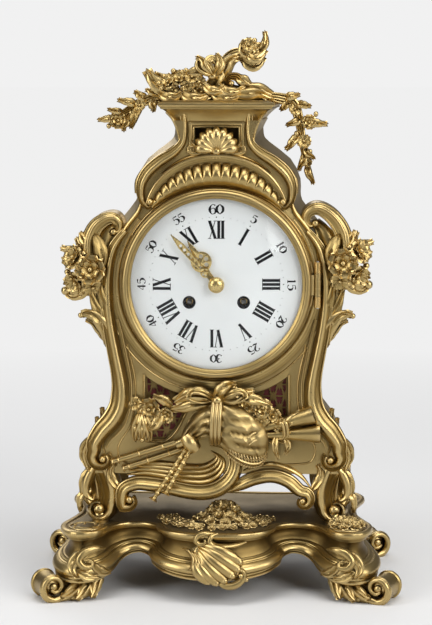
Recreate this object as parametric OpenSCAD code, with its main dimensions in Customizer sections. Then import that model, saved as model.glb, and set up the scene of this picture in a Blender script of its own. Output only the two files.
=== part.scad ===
/* [Overall] */
// Height of the dial's centre above the table
dial_height = 278; // [277:0.5:279]
// Half the depth of the case at its front face
front_plane = 50; // [49.5:0.5:50.5]
// Flare of the case walls from front to back, on each side
wall_flare = 10; // [6:1:12]
// Thickness of the cast case walls
wall = 4; // [3:0.5:5]

/* [Platform] */
// Height of the platform's top rim
platform_top = 62; // [61.5:0.25:62.5]
// How far the torus at the foot of the skirt stands proud of the rim
skirt_swell = 8; // [6:1:9]
// Turn of each foot away from the front
foot_turn = 24; // [20:1:28]

/* [Dial and bezel] */
// Radius of the dial that shows inside the bezel
dial_opening = 75.5; // [74:0.5:76]
// Outer radius of the bezel
bezel_radius = 84.5; // [84:0.5:85]
// Rise of the domed glass
glass_rise = 13; // [10:1:15]
// Distance of each winding hole from the centre line
winding_side = 24; // [24:1:24]
// Drop of the winding holes below the dial's centre
winding_drop = 16; // [16:1:16]
// Angle of the minute hand at rest, clockwise from twelve
minute_angle = 318; // [0:1:359]

/* [Movement] */
// Radius of the movement plates
plate_radius = 50; // [49:0.5:50]
// Distance between the two plates
plate_gap = 29.5; // [29.5:0.5:30.5]
// Teeth of the cannon pinion
cannon_teeth = 12; // [12:1:12]
// Teeth of the minute wheel
minute_teeth = 36; // [36:1:36]
// Module of the gears between cannon pinion and minute wheel
motion_module = 0.625; // [0.625:0.001:0.625]
// Length of the pendulum from its pivot to the middle of the bob
pendulum_length = 142; // [130:2:144]

/* [Hidden] */

gilt = "goldenrod";
brass = "gold";
steel = "slategray";
// Clearance between a pin and its bore
running = 0.05;
// Gap between the trophy's round pieces and the ornament they lie on
seat_gap = 0.15;
case_depth = 108;
back_plane = case_depth - front_plane;
hour_angle = 300 + minute_angle / 12;

// Curves and lofts
function unit(v) = v / norm(v);
function blend4(a, b, c, d, t) =
    0.5 * (2 * b + (c - a) * t + (2 * a - 5 * b + 4 * c - d) * t * t
        + (3 * b - a - 3 * c + d) * t * t * t);
function smooth(p, steps) = [
    for (i = [0:len(p) - 2], s = [0:steps - 1])
        blend4(p[max(i - 1, 0)], p[i], p[i + 1], p[min(i + 2, len(p) - 1)], s / steps),
    p[len(p) - 1]];
function mirrored(p) = [for (i = [len(p) - 2:-1:1]) [-p[i].x, for (k = [1:len(p[i]) - 1]) p[i][k]]];
function closed_from_half(p) = concat(p, mirrored(p));
function outward(p, i) =
    let (n = len(p), a = p[(i + n - 1) % n], b = p[(i + 1) % n], t = unit([b.x - a.x, b.y - a.y]))
    [t.y, -t.x];
function grown(p, d) = [for (i = [0:len(p) - 1]) [p[i].x, p[i].y] + d * outward(p, i)];
function spiral(cx, cz, r0, r1, a0, a1, n) = [
    for (i = [0:n]) let (t = i / n, r = r0 + (r1 - r0) * t, a = a0 + (a1 - a0) * t)
        [cx + r * cos(a), cz + r * sin(a)]];
function at_depth(p, y) = [for (q = p) [q.x, y, q.y]];
function tangent(p, i) = unit(p[min(i + 1, len(p) - 1)] - p[max(i - 1, 0)]);
function section(c, t, ref, size, sides) =
    let (side = unit(cross(t, ref)), depth = cross(t, side))
    [for (k = [0:sides - 1]) c + size[0] * cos(360 * k / sides) * side
        + size[1] * sin(360 * k / sides) * depth];

// Solid through a list of rings, with flat ends
module loft(rings) {
    n = len(rings[0]);
    m = len(rings);
    polyhedron(points = [for (r = rings) each r],
        faces = concat([[for (k = [0:n - 1]) k]],
            [for (i = [0:m - 2], k = [0:n - 1]) let (j = (k + 1) % n) [i * n + k, (i + 1) * n + k, i * n + j]],
            [for (i = [0:m - 2], k = [0:n - 1]) let (j = (k + 1) % n) [i * n + j, (i + 1) * n + k, (i + 1) * n + j]],
            [[for (k = [n - 1:-1:0]) (m - 1) * n + k]]),
        convexity = 6);
}

// Endless wall through rings that close on themselves
module ring_loft(rings) {
    n = len(rings[0]);
    m = len(rings);
    polyhedron(points = [for (r = rings) each r],
        faces = [for (i = [0:m - 1], k = [0:n - 1], h = [0, 1])
            let (j = (k + 1) % n, u = (i + 1) % m)
            h == 0 ? [i * n + k, u * n + k, i * n + j] : [i * n + j, u * n + k, u * n + j]],
        convexity = 6);
}

// Tube of changing size along a path; each size is half width and half depth
module sweep(path, sizes, sides = 8, ref = [0, 1, 0]) {
    last = len(path) - 1;
    loft([for (i = [0:last])
        section(path[i], tangent(path, i), ref,
            len(sizes) == 1 ? sizes[0] : sizes[min(i, len(sizes) - 1)], sides)]);
}

// Sizes that swell between two ends, one for each of n stations
function swell(n, w, d, ends = 0.25) = [
    for (i = [0:n - 1]) let (s = ends + (1 - ends) * sin(180 * (0.12 + 0.8 * i / (n - 1)))) [w * s, d * s]];

// Ornament
module leaf(path, width, thick = 1.8, ref = [0, 1, 0], steps = 1) {
    p = smooth(path, steps);
    sweep(p, swell(len(p), width, thick), sides = 4, ref = ref);
}

// Flower that faces the front, at a place, with its outer radius
function flower_ring(r, size, height, notch, per) = [
    for (k = [0:5 * per - 1]) let (a = 72 / per * k, q = r * size * (k % per == per - 1 ? notch : 1))
        [q * cos(a), q * sin(a), r * height]];
module flower(at, r, tilt = [0, 0, 0], per = 2) {
    translate(at) rotate([90, 0, 0]) rotate(tilt) {
        loft([flower_ring(r, 0.35, -0.42, 1, per), flower_ring(r, 1, 0.2, 0.6, per),
            flower_ring(r, 0.42, 0.06, 0.9, per)]);
        bead([0, 0, r * 0.14], r * 0.27);
    }
}

module bead(at, r) {
    translate(at) hull() for (s = [0, 1]) mirror([0, 0, s]) cylinder(r1 = r, r2 = 0, h = 1.1 * r, $fn = 5);
}

// Scallop shell that opens upwards, as a fan of ribs with its flat back at y
module scallop(x, y, z, r, rise, ribs, spread) {
    n = 2 * ribs;
    loft([for (i = [0:n]) let (a = spread * (2 * i / n - 1), q = i % 2 == 0 ? 0.9 : 1, lift = i % 2 == 0 ? 0.55 : 1,
            e = 1 - 0.12 * pow(abs(a) / 90, 2))
        [for (s = [[0.1, 0], [e * q, 0], [e * q, 0.35 * lift], [0.7 * e, lift], [0.35 * e, 0.9 * lift], [0.1, 0.6]])
            [x + r * s[0] * sin(a), y - rise * s[1], z + r * s[0] * cos(a)]]]);
}

// Cast mounts: flat backs on the case's front, or backs that follow its sides
module on_front() {
    difference() {
        children();
        translate([-200, -front_plane, 0]) cube([400, 200, 520]);
    }
}
module case_body() {
    loft([case_ring(-wall_flare, back_plane + 3), case_ring(-wall_flare, back_plane),
        case_ring(0, 5 - front_plane), case_ring(0, -front_plane)]);
}

// Front views turned upright: drawn in X and height, as thick as t behind y
module upright(y, t) {
    translate([0, y + t, 0]) rotate([90, 0, 0]) linear_extrude(t) children();
}

// Turned pieces about the dial's axis: profile points are radius and distance in front
module turned(points, fn = 96, x = 0, z = 0) {
    translate([x, 0, dial_height + z]) rotate([90, 0, 0]) rotate_extrude($fn = fn) polygon(points);
}

module arbor(r, y0, y1, x = 0, z = 0, fn = 24) {
    translate([x, y1, dial_height + z]) rotate([90, 0, 0]) cylinder(r = r, h = y1 - y0, $fn = fn);
}

// Platform
platform_half = [[0, -91, 20], [22, -89.5, 21], [40, -81, 24], [50, -69, 28], [54, -56, 32],
    [66, -48, 35], [80, -48, 33], [91, -56, 28], [98, -70, 22], [106, -81, 18], [118, -86, 16],
    [130, -81, 16], [137, -67, 18], [138, -50, 22], [132, -30, 28], [127, -10, 32], [127, 14, 32],
    [132, 36, 28], [137, 55, 22], [136, 72, 18], [128, 84, 16], [114, 89, 18], [98, 86, 24],
    [60, 82, 31], [0, 86, 32]];
platform_front = smooth([for (i = [0:15]) platform_half[i]], 2);
platform_rear = [for (i = [16:len(platform_half) - 1]) platform_half[i]];
platform_outline = closed_from_half(concat(platform_front, platform_rear));
// Skirt section: distance proud of the rim, and share of the height below the top
field = platform_top - 1;
skirt_section = [[-3, 0], [0, 0.06], [-6, 0.18], [-6, 0.44], [1.5, 0.6], [skirt_swell, 0.76],
    [skirt_swell - 1, 0.9], [skirt_swell - 5, 1]];
function skirt_ring(s) =
    let (flat = grown(platform_outline, s[0]))
    [for (i = [0:len(flat) - 1])
        [flat[i].x, flat[i].y, platform_top - s[1] * (platform_top - platform_outline[i].z)]];
function level_ring(d, z) = [for (p = grown(platform_outline, d)) [p.x, p.y, z]];

// Bouquet in low relief on the front lobe, over a stem that follows the lobe's edge
module platform_relief() {
    z = field + 0.8;
    for (k = [-1:1]) flower([-5 + k * 17, -63 - 3 * cos(90 * k), z + 1.4], 8 - 1.5 * abs(k), tilt = [-70, 0, 20 * k]);
    for (s = [-1, 1])
        leaf([[s * 2, -72, z], [s * 20, -76, z + 0.6], [s * 34, -66, z]], 4.5, 2.4, ref = [0, 0.3, 1]);
    for (k = [-2:2]) bead([7 * k, -79 + 0.5 * abs(k), z], 2.2);
}

module base_platform() {
    color(gilt) difference() {
        union() {
            loft(concat([level_ring(-12, field - 5)],
                [for (i = [len(skirt_section) - 1:-1:0]) skirt_ring(skirt_section[i])], [level_ring(-7.5, field)]));
            platform_relief();
        }
        for (p = bolt_places)
            translate([p.x, p.y, 0]) cylinder(r = 2.6, h = 100, $fn = 12);
    }
}

bolt_places = [[-105, -42], [105, -42], [-105, 48], [105, 48]];
module base_bolts() {
    color(steel) for (p = bolt_places) translate([p.x, p.y, field - 8]) {
        cylinder(r = 5, h = 3, $fn = 6);
        cylinder(r = 2.4, h = 17, $fn = 24);
    }
}

// Feet: a volute at the toe, a flat sole and leaves at the heel, let in under the skirt
foot_path = concat(
    [[-16, 27], [-8, 19], [2, 12], [14, 8.2]],
    spiral(29, 18.6, 12.6, 3.4, -125, 330, 10));
foot_sizes = [for (i = [0:len(foot_path) - 1])
    let (t = i / (len(foot_path) - 1)) [5.6 - 3.4 * t, i < 4 ? 9 + 2 * i : 15 - 3 * t]];
module foot() {
    sweep(at_depth(foot_path, 0), foot_sizes, sides = 5);
    for (s = [-1, 1])
        leaf([[-14, s * 9, 26], [2, s * 13, 15], [17, s * 14.5, 9]], 4.5, 3.4, ref = [0, s, 0.6]);
    for (k = [0:7]) let (u = 3 + 3.4 * k) bead([u - 16, 0, 32 - 1.05 * u + 0.0125 * u * u], 2.8 - 0.15 * k);
}

foot_reach = [120.6, 68.6, 4.9];
rear_reach = 7.9;
module placed_foot(sx, sy, shift = 0) {
    color(gilt) difference() {
        scale([sx, sy, 1]) translate([foot_reach.x, -foot_reach.y - shift, -foot_reach.z])
            rotate(-foot_turn) foot();
        loft([for (i = [len(skirt_section) - 1:-1:0]) skirt_ring(skirt_section[i])]);
        translate([0, 0, -30]) cube([400, 300, 60], center = true);
    }
}

module foot_front_left() { placed_foot(-1, 1); }
module foot_front_right() { placed_foot(1, 1); }
module foot_rear_left() { placed_foot(-1, -1, rear_reach); }
module foot_rear_right() { placed_foot(1, -1, rear_reach); }

// Shell and leaves that hang over the middle of the skirt
module skirt_shell() {
    color(gilt) difference() {
        union() {
            mirror([0, 0, 1]) scallop(2, -92, -43, 25, 11, 6, 66);
            for (s = [-1, 1]) {
                leaf([[s * 6, -97, 40], [s * 17, -101, 44], [s * 27, -94, 37]], 4.4, 3);
                leaf([[s * 8, -96, 36], [s * 20, -100, 32], [s * 27, -94, 25]], 4, 3);
            }
            for (k = [-4:3]) bead([2.5 + 4.2 * k, -98 + abs(k + 0.5) * 0.6, 44.5 + 0.3 * abs(k)], 3);
        }
        loft([for (i = [len(skirt_section) - 1:-1:0]) skirt_ring(skirt_section[i])]);
    }
}

// Case
case_half = [[0, 430], [31, 430], [31, 412], [33, 400], [41, 391], [59, 377], [66, 363],
    [66, 353], [69, 340], [84, 321], [94, 309], [99, 296], [101.5, 275], [99, 240], [92.5, 204],
    [90.5, 186], [92, 170], [98, 157], [112, 141], [118, 126], [117, 114], [109, 107], [60, 107],
    [0, 107]];
case_side = concat([case_half[0]], smooth([for (i = [1:21]) case_half[i]], 2), [case_half[22], case_half[23]]);
case_outline = concat([for (p = case_side) [-p.x, p.y]],
    [for (i = [len(case_side) - 2:-1:1]) case_side[i]]);
function case_ring(d, y, top = 430) = [for (p = grown(case_outline, -d)) [p.x, y, min(p.y, top)]];

module window_shape(grow = 0) {
    offset(delta = grow) difference() {
        polygon([[23, 172], [30, 160], [36, 148], [46, 138], [63, 138], [63, 196], [23, 184]]);
        translate([0, dial_height]) circle(r = 104, $fn = 120);
    }
}

module neck_opening() {
    translate([-19, 398]) square([38, 17]);
    translate([-16, 392]) square([32, 8]);
}

module case_front() {
    color(gilt) difference() {
        upright(-front_plane, 5) polygon(case_outline);
        arbor(80, -front_plane - 1, -front_plane + 6, fn = 120);
        upright(-front_plane - 1, 7) {
            window_shape();
            mirror([1, 0]) window_shape();
            neck_opening();
        }
    }
}

module case_walls() {
    y0 = -front_plane + 5;
    color(gilt) ring_loft([case_ring(-wall_flare, back_plane), case_ring(0, y0),
        case_ring(wall, y0, 430 - wall), case_ring(wall - wall_flare, back_plane, 430 - wall)]);
}

door_centre = dial_height - 14;
door_hinge = [62, back_plane + 6.5];
module case_back() {
    color(gilt) {
        difference() {
            upright(back_plane, 3) polygon([for (p = case_ring(-wall_flare, 0)) [p.x, p.z]]);
            translate([0, back_plane + 4, door_centre]) rotate([90, 0, 0])
                cylinder(r = 56, h = 6, $fn = 96);
        }
        for (z = [-14, 8.3]) hinge_barrel(z, 5.7);
    }
}

module hinge_barrel(z, h) {
    translate([door_hinge.x, door_hinge.y, door_centre + z]) difference() {
        union() {
            cylinder(r = 3, h = h, $fn = 32);
            translate([-1, -door_hinge.y + back_plane + 2.5, 0]) cube([4, 2.5, h]);
        }
        translate([0, 0, -1]) cylinder(r = 1.25 + running, h = h + 2, $fn = 32);
    }
}

module back_door() {
    color(gilt) {
        difference() {
            translate([0, back_plane + 7, door_centre]) rotate([90, 0, 0])
                cylinder(r = 58, h = 3, $fn = 96);
            translate([0, back_plane + 8, door_centre]) rotate([90, 0, 0]) {
                for (k = [0:7]) rotate(45 * k) translate([34, 0, -2]) cylinder(r = 9, h = 8, $fn = 24);
                cylinder(r = 11, h = 6, $fn = 32);
            }
            translate([door_hinge.x - 6, back_plane, door_centre - 16]) cube([12, 12, 32]);
        }
        translate([door_hinge.x, door_hinge.y, door_centre - 8]) difference() {
            union() {
                cylinder(r = 3, h = 16, $fn = 32);
                translate([-10, -2.5, 0]) cube([9, 3, 16]);
            }
            translate([0, 0, -1]) cylinder(r = 1.25 + running, h = 18, $fn = 32);
        }
    }
}

module back_door_pin() {
    color(steel) translate([door_hinge.x, door_hinge.y, door_centre - 15])
        cylinder(r = 1.25, h = 30, $fn = 32);
}

// Cornice: stepped cap of the neck, wider towards the back
function cap_ring(d, z) = [[-32 - d, -50 - d, z], [32 + d, -50 - d, z],
    [41 + d, back_plane + 3 + d / 4, z], [-41 - d, back_plane + 3 + d / 4, z]];
cap_section = [[-1, 430], [3, 430], [3, 432.5], [6, 434], [9, 436.5], [9, 439], [12, 440.5], [12, 443.5],
    [5, 445], [5, 446.5], [0, 447]];
module cornice_form() {
    loft([for (s = cap_section) cap_ring(s[0], s[1])]);
}
module cornice() {
    color(gilt) cornice_form();
}

// Fluted cove over the dial between two rims, and the mouldings that run up to the cornice
arch_inner = 87.5;
function arch_outer(a) = 104 - 12 * pow(abs(a) / 40, 1.6);
function arch_point(r, a, y) = [r * sin(a), y, dial_height + r * cos(a)];
module fluted_hood() {
    y = -front_plane;
    color(gilt) on_front() {
        upright(y - 1.4, 2) polygon(concat([for (k = [-8:8]) arch_outer(5 * k) * [sin(5 * k), cos(5 * k)] + [0, dial_height]],
            [for (k = [8:-1:-8]) arch_inner * [sin(5 * k), cos(5 * k)] + [0, dial_height]]));
        for (k = [-7:7]) let (a = k * 5.4, out = arch_outer(a) - 1)
            leaf([arch_point(arch_inner + 1, a, y - 3.4), arch_point((arch_inner + out) / 2, a, y - 2.4),
                arch_point(out, a, y - 1.2)], 4.4, 3);
        sweep([for (k = [-6:6]) arch_point(arch_outer(7 * k) + 1.5, 7 * k, y - 1)], [[2.2, 4]], sides = 5);
        for (s = [-1, 1])
            sweep([[s * 28, y - 0.6, 429.5], [s * 28, y - 0.6, 410], [s * 31, y - 0.6, 398], [s * 41, y - 0.6, 388],
                [s * 53, y - 0.6, 378.5], [s * 61, y - 0.6, 367], [s * 63, y - 0.6, 356], [s * 61.5, y - 0.6, 348]],
                [[2.8, 3.6]], sides = 5);
        for (k = [-4:4]) bead(arch_point(arch_outer(10 * k) + 1.5, 10 * k, y - 4.4), 2);
    }
}

// Scallop shell with curled leaves at its base
module neck_shell() {
    color(gilt) on_front() {
        scallop(0, -49, 394, 21, 7, 8, 86);
        for (s = [-1, 1]) {
            leaf([[s * 5, -53, 393.5], [s * 15, -54.5, 396.4], [s * 25, -51.5, 390]], 3.4, 2.4);
            leaf([[s * 4, -52.5, 390.6], [s * 14, -53.5, 388.6], [s * 28, -51, 386]], 3, 2.2);
        }
        for (k = [-4:3]) bead([(k + 0.5) * 3.7, -53.2, 391.6 - abs(k + 0.5) * 0.5], 2.5);
    }
}

// Long scroll up each side of the case, from the lower volute to the shoulder
frame_path = concat([[80, 325], [86.5, 317.5], [92, 308], [95.5, 295], [97.3, 277], [96.8, 256], [94.2, 236],
    [90.5, 216], [87, 198], [85.5, 184], [87, 169], [93, 157], [102, 147], [109, 136]],
    spiral(101.5, 122, 10.5, 4.5, 40, -215, 7));
module frame_scroll() {
    n = len(frame_path);
    on_front() {
        sweep([for (i = [0:n - 1]) [frame_path[i].x, -front_plane - 2, frame_path[i].y]],
            [for (i = [0:n - 1]) let (t = i / (n - 1)) [4.6 + 2.2 * t * t - 3.6 * pow(t, 8), 6 + 4 * t * t]],
            sides = 5);
        for (k = [0:7]) bead([101 + 4 * cos(45 * k), -front_plane - 7, 122 + 4 * sin(45 * k)], 2.4);
    }
}
module right_frame_scroll() {
    color(gilt) difference() {
        frame_scroll();
        horn_forms(seat_gap);
    }
}
module left_frame_scroll() {
    color(gilt) difference() {
        mirror([1, 0, 0]) frame_scroll();
        pipe_forms(seat_gap);
    }
}

// Ear scroll above the flowers, as wide as the case wall is deep there
module ear() {
    path = concat([[100, 268], [107, 284], [111, 302], [111, 320], [106, 334]],
        spiral(96.5, 337, 9.5, 3, 10, 235, 7));
    n = len(path);
    sweep([for (i = [0:n - 1]) [path[i].x, -32, path[i].y]],
        [for (i = [0:n - 1]) let (t = i / (n - 1)) [4.4 - 2 * t, 12 + 6 * sin(180 * t)]], sides = 5);
}

module side_flowers(x, z) {
    flower([x, -55, z], 13, tilt = [0, 15, 10]);
    flower([x + 12, -49, z + 13], 10, tilt = [-20, 30, 0]);
    flower([x + 11, -49, z - 7], 10, tilt = [15, 30, 30]);
    flower([x - 1, -50, z + 15], 8, tilt = [-20, 0, 0]);
    flower([x - 3, -51, z - 13], 7.5, tilt = [20, 0, 0]);
    leaf([[x - 1, -50, z - 5], [x + 8, -44, z - 22], [x + 20, -40, z - 27]], 4.4, 2.8);
    leaf([[x - 6, -46, z + 12], [x + 1, -44, z + 24], [x + 9, -40, z + 30]], 4.4, 2.8);
    leaf([[97, -46, 222], [101, -46, 240], [105, -46, 258], [x - 1, -51, z - 3]], 4.6, 4);
    leaf([[99, -44, 228], [107, -42, 238], [117, -38, 246]], 4, 3);
    leaf([[102, -44, 242], [110, -40, 254], [x + 10, -38, z - 22]], 4, 3);
    for (k = [0:2]) bead([x + 8 + 3 * k, -46, z + 2 - 3 * k], 3.4);
}

module side_mount(z) {
    difference() {
        union() { ear(); side_flowers(113, z); }
        case_body();
        frame_scroll();
    }
}
module right_side_mount() { color(gilt) side_mount(297); }
module left_side_mount() { color(gilt) mirror([1, 0, 0]) side_mount(291); }

// Legs: a C scroll that curls outwards on the platform, with a leafy knee
leg_path = concat([[106, 120], [101, 112], [96.5, 103], [93.5, 93], [93, 83], [95, 75]],
    spiral(105.5, 74.5, 9.6, 4, 190, 470, 7));
module leg() {
    n = len(leg_path);
    sweep(at_depth(leg_path, 0), [for (i = [0:n - 1]) let (t = i / (n - 1)) [6 - 2.4 * t, 8 - t]], sides = 5);
    for (k = [-1:1])
        leaf([[103, 5 * k, 108], [114, 6 * k, 97], [121 - abs(k), 5.5 * k, 86], [115, 5 * k, 75]], 4.4, 3.4,
            ref = [0.7, 0, 0.4]);
    for (k = [0:7]) bead([97.6 + 1.5 * k, 0, 107 - 2.7 * k], 5 - 0.3 * k);
    translate([105, 0, field]) cylinder(r = 7, h = 7, $fn = 8);
}
module placed_leg(sx, y, top = 130) {
    color(gilt) difference() {
        scale([sx, 1, 1]) translate([0, y, 0]) leg();
        case_body();
        translate([-200, -100, field - 40]) cube([400, 200, 40]);
        translate([-200, -100, top]) cube([400, 200, 40]);
        translate([sx * 105, y, field - 1]) cylinder(r = 2.6, h = 11, $fn = 12);
    }
}
module leg_front_left() { placed_leg(-1, -42); }
module leg_front_right() { placed_leg(1, -42); }
module leg_rear_left() { placed_leg(-1, 48, 108); }
module leg_rear_right() { placed_leg(1, 48, 108); }

// Front apron: a broad C scroll on the left, an open arch on the right
apron_left = concat(spiral(-78, 83, 4, 9, 20, -150, 5),
    [[-84, 90], [-76, 98], [-60, 100], [-40, 96], [-20, 92], [-2, 94], [6, 97.5], [13, 105], [16, 113], [12, 126]]);
apron_right = concat([[4, 93], [18, 99], [34, 105.5], [50, 106], [64, 101], [74, 93]],
    spiral(76.5, 83.5, 8, 3, 50, -190, 6));
module front_apron() {
    y = -front_plane;
    color(gilt) difference() {
        on_front() {
            sweep(at_depth(apron_left, y - 2), [for (i = [0:15]) [5 + 2.4 * sin(11 * i), 7]], sides = 5);
            sweep(at_depth(apron_right, y - 2), [[4.6, 6]], sides = 5);
            for (k = [0:2])
                sweep(at_depth([[-74, 104 + 5 * k], [-58, 104.5 + 5 * k], [-40, 103 + 5 * k], [-22, 100.5 + 5 * k],
                    [-6, 102 + 6 * k], [4, 110 + 5 * k]], y - 1), [[2.9, 3]], sides = 5);
            for (k = [0:7]) bead([22 + 5 * k, y - 3, 110 - 0.0135 * pow(5 * k - 22.5, 2)], 2.6);
        }
        pipe_forms(seat_gap);
    }
}

// Rear apron: a plain arched band across the foot of the back
module rear_apron() {
    color(gilt) upright(back_plane + 3, 3) difference() {
        polygon([[-84, 106], [84, 106], [82, 86], [-82, 86]]);
        translate([0, 40]) scale([1.05, 0.72]) circle(r = 74, $fn = 64);
    }
}

// Pierced frets: eight-pointed stars joined by thin bars
module star(r) {
    polygon([for (k = [0:15]) (k % 2 == 0 ? r : r * 0.42) * [cos(22.5 * k), sin(22.5 * k)]]);
}
module fret() {
    upright(-front_plane + 5, 1.2) {
        difference() {
            window_shape(2.5);
            window_shape(-1.2);
        }
        intersection() {
            window_shape(1);
            offset(delta = 0.12) {
                for (i = [2:6], j = [13:19]) translate([11.2 * i + (j % 2) * 5.6, 10.4 * j]) {
                    star(4.9);
                    for (a = [0, 60, 120]) rotate(a) square([11.4, 0.9], center = true);
                }
            }
        }
    }
}
module right_fret() { color(gilt) fret(); }
module left_fret() { color(gilt) mirror([1, 0, 0]) fret(); }

module silk_backing() {
    color("darkred") upright(-front_plane + 6.2, 0.8) difference() {
        translate([-68, 133]) square([136, 66]);
        translate([0, dial_height]) circle(r = 83, $fn = 96);
    }
}

// Trophy under the dial
bag_path = smooth([[-27, -53, 139], [-20, -56, 147], [-8, -58, 154], [6, -58.5, 155], [18, -58.5, 148],
    [28, -57.5, 138], [36, -55.5, 128], [40, -53, 121]], 1);
module bag_form() {
    n = len(bag_path);
    sweep(bag_path, [for (i = [0:n - 1]) let (t = i / (n - 1))
        [5 + 15 * pow(sin(180 * (0.06 + 0.8 * t)), 1.5), 4 + 8 * sin(180 * (0.08 + 0.8 * t))]], sides = 10);
    for (k = [-1, 1]) sweep([for (i = [0:6]) let (a = -66 + 22 * i)
        [3 + 3 * k + 1.5 * sin(a), -57.5 - 12.6 * cos(a), 154 + 20.5 * sin(a)]], [[2, 1.8]], sides = 5, ref = [1, 0, 0]);
    for (k = [0:7]) bead([11 + 3.8 * k, -58 - 4 * sin(22 * k), 128 + 0.8 * pow(k - 4.8, 2)], 2.8);
}
module trophy_bag() {
    color(gilt) difference() {
        on_front() bag_form();
        pipe_forms(seat_gap);
        horn_forms(seat_gap);
    }
}

// Two long pipes to the left and two turned chanters that hang from the bag's stock
module pipe(a, b, r0, r1) {
    v = b - a;
    translate(a) rotate([0, acos(v.z / norm(v)), atan2(v.y, v.x)]) {
        cylinder(r1 = r0, r2 = r1, h = norm(v), $fn = 20);
        children();
    }
}
module pipe_forms(gap = 0) {
    pipe([-28, -56, 139], [-94, -54, 118], 3 + gap, 2.2 + gap);
    pipe([-24, -55, 132], [-84, -53.6, 112], 2.8 + gap, 2 + gap);
    for (p = [[[-24, -59, 137], [-56, -64, 86]], [[-20, -60, 137], [-45, -66, 92]]])
        pipe(p[0], p[1], 2.6 + gap, 2 + gap)
            for (h = [14:8:46]) translate([0, 0, h]) cylinder(r = 3.2 + gap, h = 2.6, $fn = 20);
    translate([-23, -57, 136]) sphere(r = 6.6 + gap, $fn = 24);
}
module trophy_pipes() {
    color(gilt) pipe_forms();
}

module horn_forms(gap = 0) {
    for (p = [[[34, -56, 147], [86, -60, 163]], [[36, -55, 142], [92, -60, 146]]])
        pipe(p[0], p[1], 3 + gap, 8 + gap) translate([0, 0, norm(p[1] - p[0]) - 1.5])
            rotate_extrude($fn = 24) polygon([[5, 0], [8.6, 0], [9, 1.5], [8.6, 3], [5, 3]]);
}
module trophy_horns() {
    color(gilt) horn_forms();
}

module trophy_flowers() {
    color(gilt) difference() {
        on_front() {
            flower([-60, -54, 164], 10);
            flower([40, -55, 168], 9, tilt = [0, 10, 0]);
            flower([50, -54, 161], 8.5);
            flower([16, -56, 179], 8);
            flower([-34, -54, 167], 7);
            leaf([[-54, -52, 164], [-66, -54, 152], [-66, -54, 139]], 7, 4);
            leaf([[-20, -52, 177], [-36, -55, 172], [-58, -52, 166]], 6, 4);
            leaf([[4, -52, 177], [-16, -55, 185], [-34, -53, 179]], 5, 4);
            leaf([[4, -52, 178], [14, -56, 187], [28, -53, 185]], 5, 4);
            leaf([[16, -52, 180], [34, -55, 174], [52, -52, 168]], 5, 4);
            for (k = [0:2]) bead([-24 + 14 * k, -53, 177], 3.4);
        }
        bag_form();
        pipe_forms(seat_gap);
        horn_forms(seat_gap);
    }
}

// Crest on the cornice
branch_path = smooth([[-6, -30, 446], [5, -32, 460], [11, -34, 471], [19, -34, 476], [27, -32, 474], [34, -31, 478],
    [38, -30, 487]], 1);
module crest_form() {
    difference() {
        union() {
            sweep(branch_path, [for (i = [0:6]) [6.5 - 0.7 * i, 6 - 0.6 * i]], sides = 5);
            leaf([[35, -30, 479], [39, -30.5, 488], [40.5, -30, 498.6]], 3.6, 2.6);
            leaf([[31, -31, 473], [24, -33, 484], [26, -33.4, 492]], 4, 3);
            leaf([[22, -32, 474], [34, -34, 469], [41, -32, 477]], 5, 3);
            leaf([[8, -31, 449], [17, -35.4, 459], [22, -32, 465]], 5, 3.4);
            flower([31, -34.5, 484], 6, tilt = [-30, 0, 0]);
            for (p = [[-45, 456, 8], [-31, 458.5, 9], [-16, 458, 8]])
                flower([p[0], -36, p[1]], p[2], tilt = [-15, p[0] / 2, 0]);
            leaf([[-40, -33, 450], [-54, -35, 457], [-61, -34, 467]], 5, 3);
            sweep([[-9, -34, 455], [-18, -36, 464], [-15, -35, 473], [-8, -34, 470], [-5, -33, 459]],
                [[2.4, 3.6]], sides = 4);
            sweep([[0, -36, 455], [4, -38, 466], [2, -38.5, 475], [-5, -37, 471], [-4, -36, 460]],
                [[2.4, 3.2]], sides = 4);
            sweep([[-42, -34, 449], [0, -37, 450.5], [30, -36, 449.5], [50, -34, 445]], [[4.4, 5]], sides = 6);
            for (k = [0:3]) bead([-24 + 15 * k, -40, 452.5 - 0.4 * k], 3.2);
        }
        cornice_form();
    }
}
module crest() {
    color(gilt) crest_form();
}

module garland(stems, blooms, tips, buds) {
    difference() {
        union() {
            sweep(stems, [[2.7, 2.7]], sides = 4);
            for (b = blooms) flower([b[0], -40, b[1]], b[2], tilt = [0, b[0] / 4, 0]);
            for (t = tips) leaf([t[0], (t[0] + t[1]) / 2 + [0, -2, 1.5], t[1]], t[2], 2.4);
            for (b = buds) bead([b[0], -40, b[1]], 2.8);
        }
        crest_form();
        cornice_form();
    }
}
module left_garland() {
    color(gilt) garland([[-38, -38, 446], [-50, -38, 441], [-60, -38, 438], [-72, -38, 433], [-92, -38, 423]],
        [[-64, 439, 7], [-82, 428, 9]],
        [[[-60, -38, 436], [-77, -36, 445], 4], [[-72, -37, 432], [-90, -36, 437], 4],
            [[-84, -37, 426], [-104, -36, 421], 4], [[-78, -38, 428], [-72, -38, 412], 4],
            [[-52, -38, 440], [-58, -38, 430], 4]],
        [[-55, 440], [-73, 434], [-90, 424], [-46, 443], [-69, 437], [-87, 420]]);
}
module right_garland() {
    color(gilt) garland([[44, -38, 446], [54, -38, 443.5], [63, -38, 438], [69, -38, 428], [71, -38, 410], [74, -38, 392],
        [79, -38, 370]],
        [[76, 414, 7], [72, 396, 7], [78, 380, 6]],
        [[[64, -37, 436], [76, -36, 443], 4], [[68, -37, 428], [84, -36, 433], 4],
            [[71, -37, 416], [95, -36, 415], 4], [[72, -38, 398], [61, -38, 391], 3.6],
            [[77, -38, 378], [84, -38, 362], 4], [[66, -38, 434], [60, -38, 424], 3.4]],
        [[55, 444], [68, 424], [72, 405], [76, 388], [61, 440]]);
}

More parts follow.
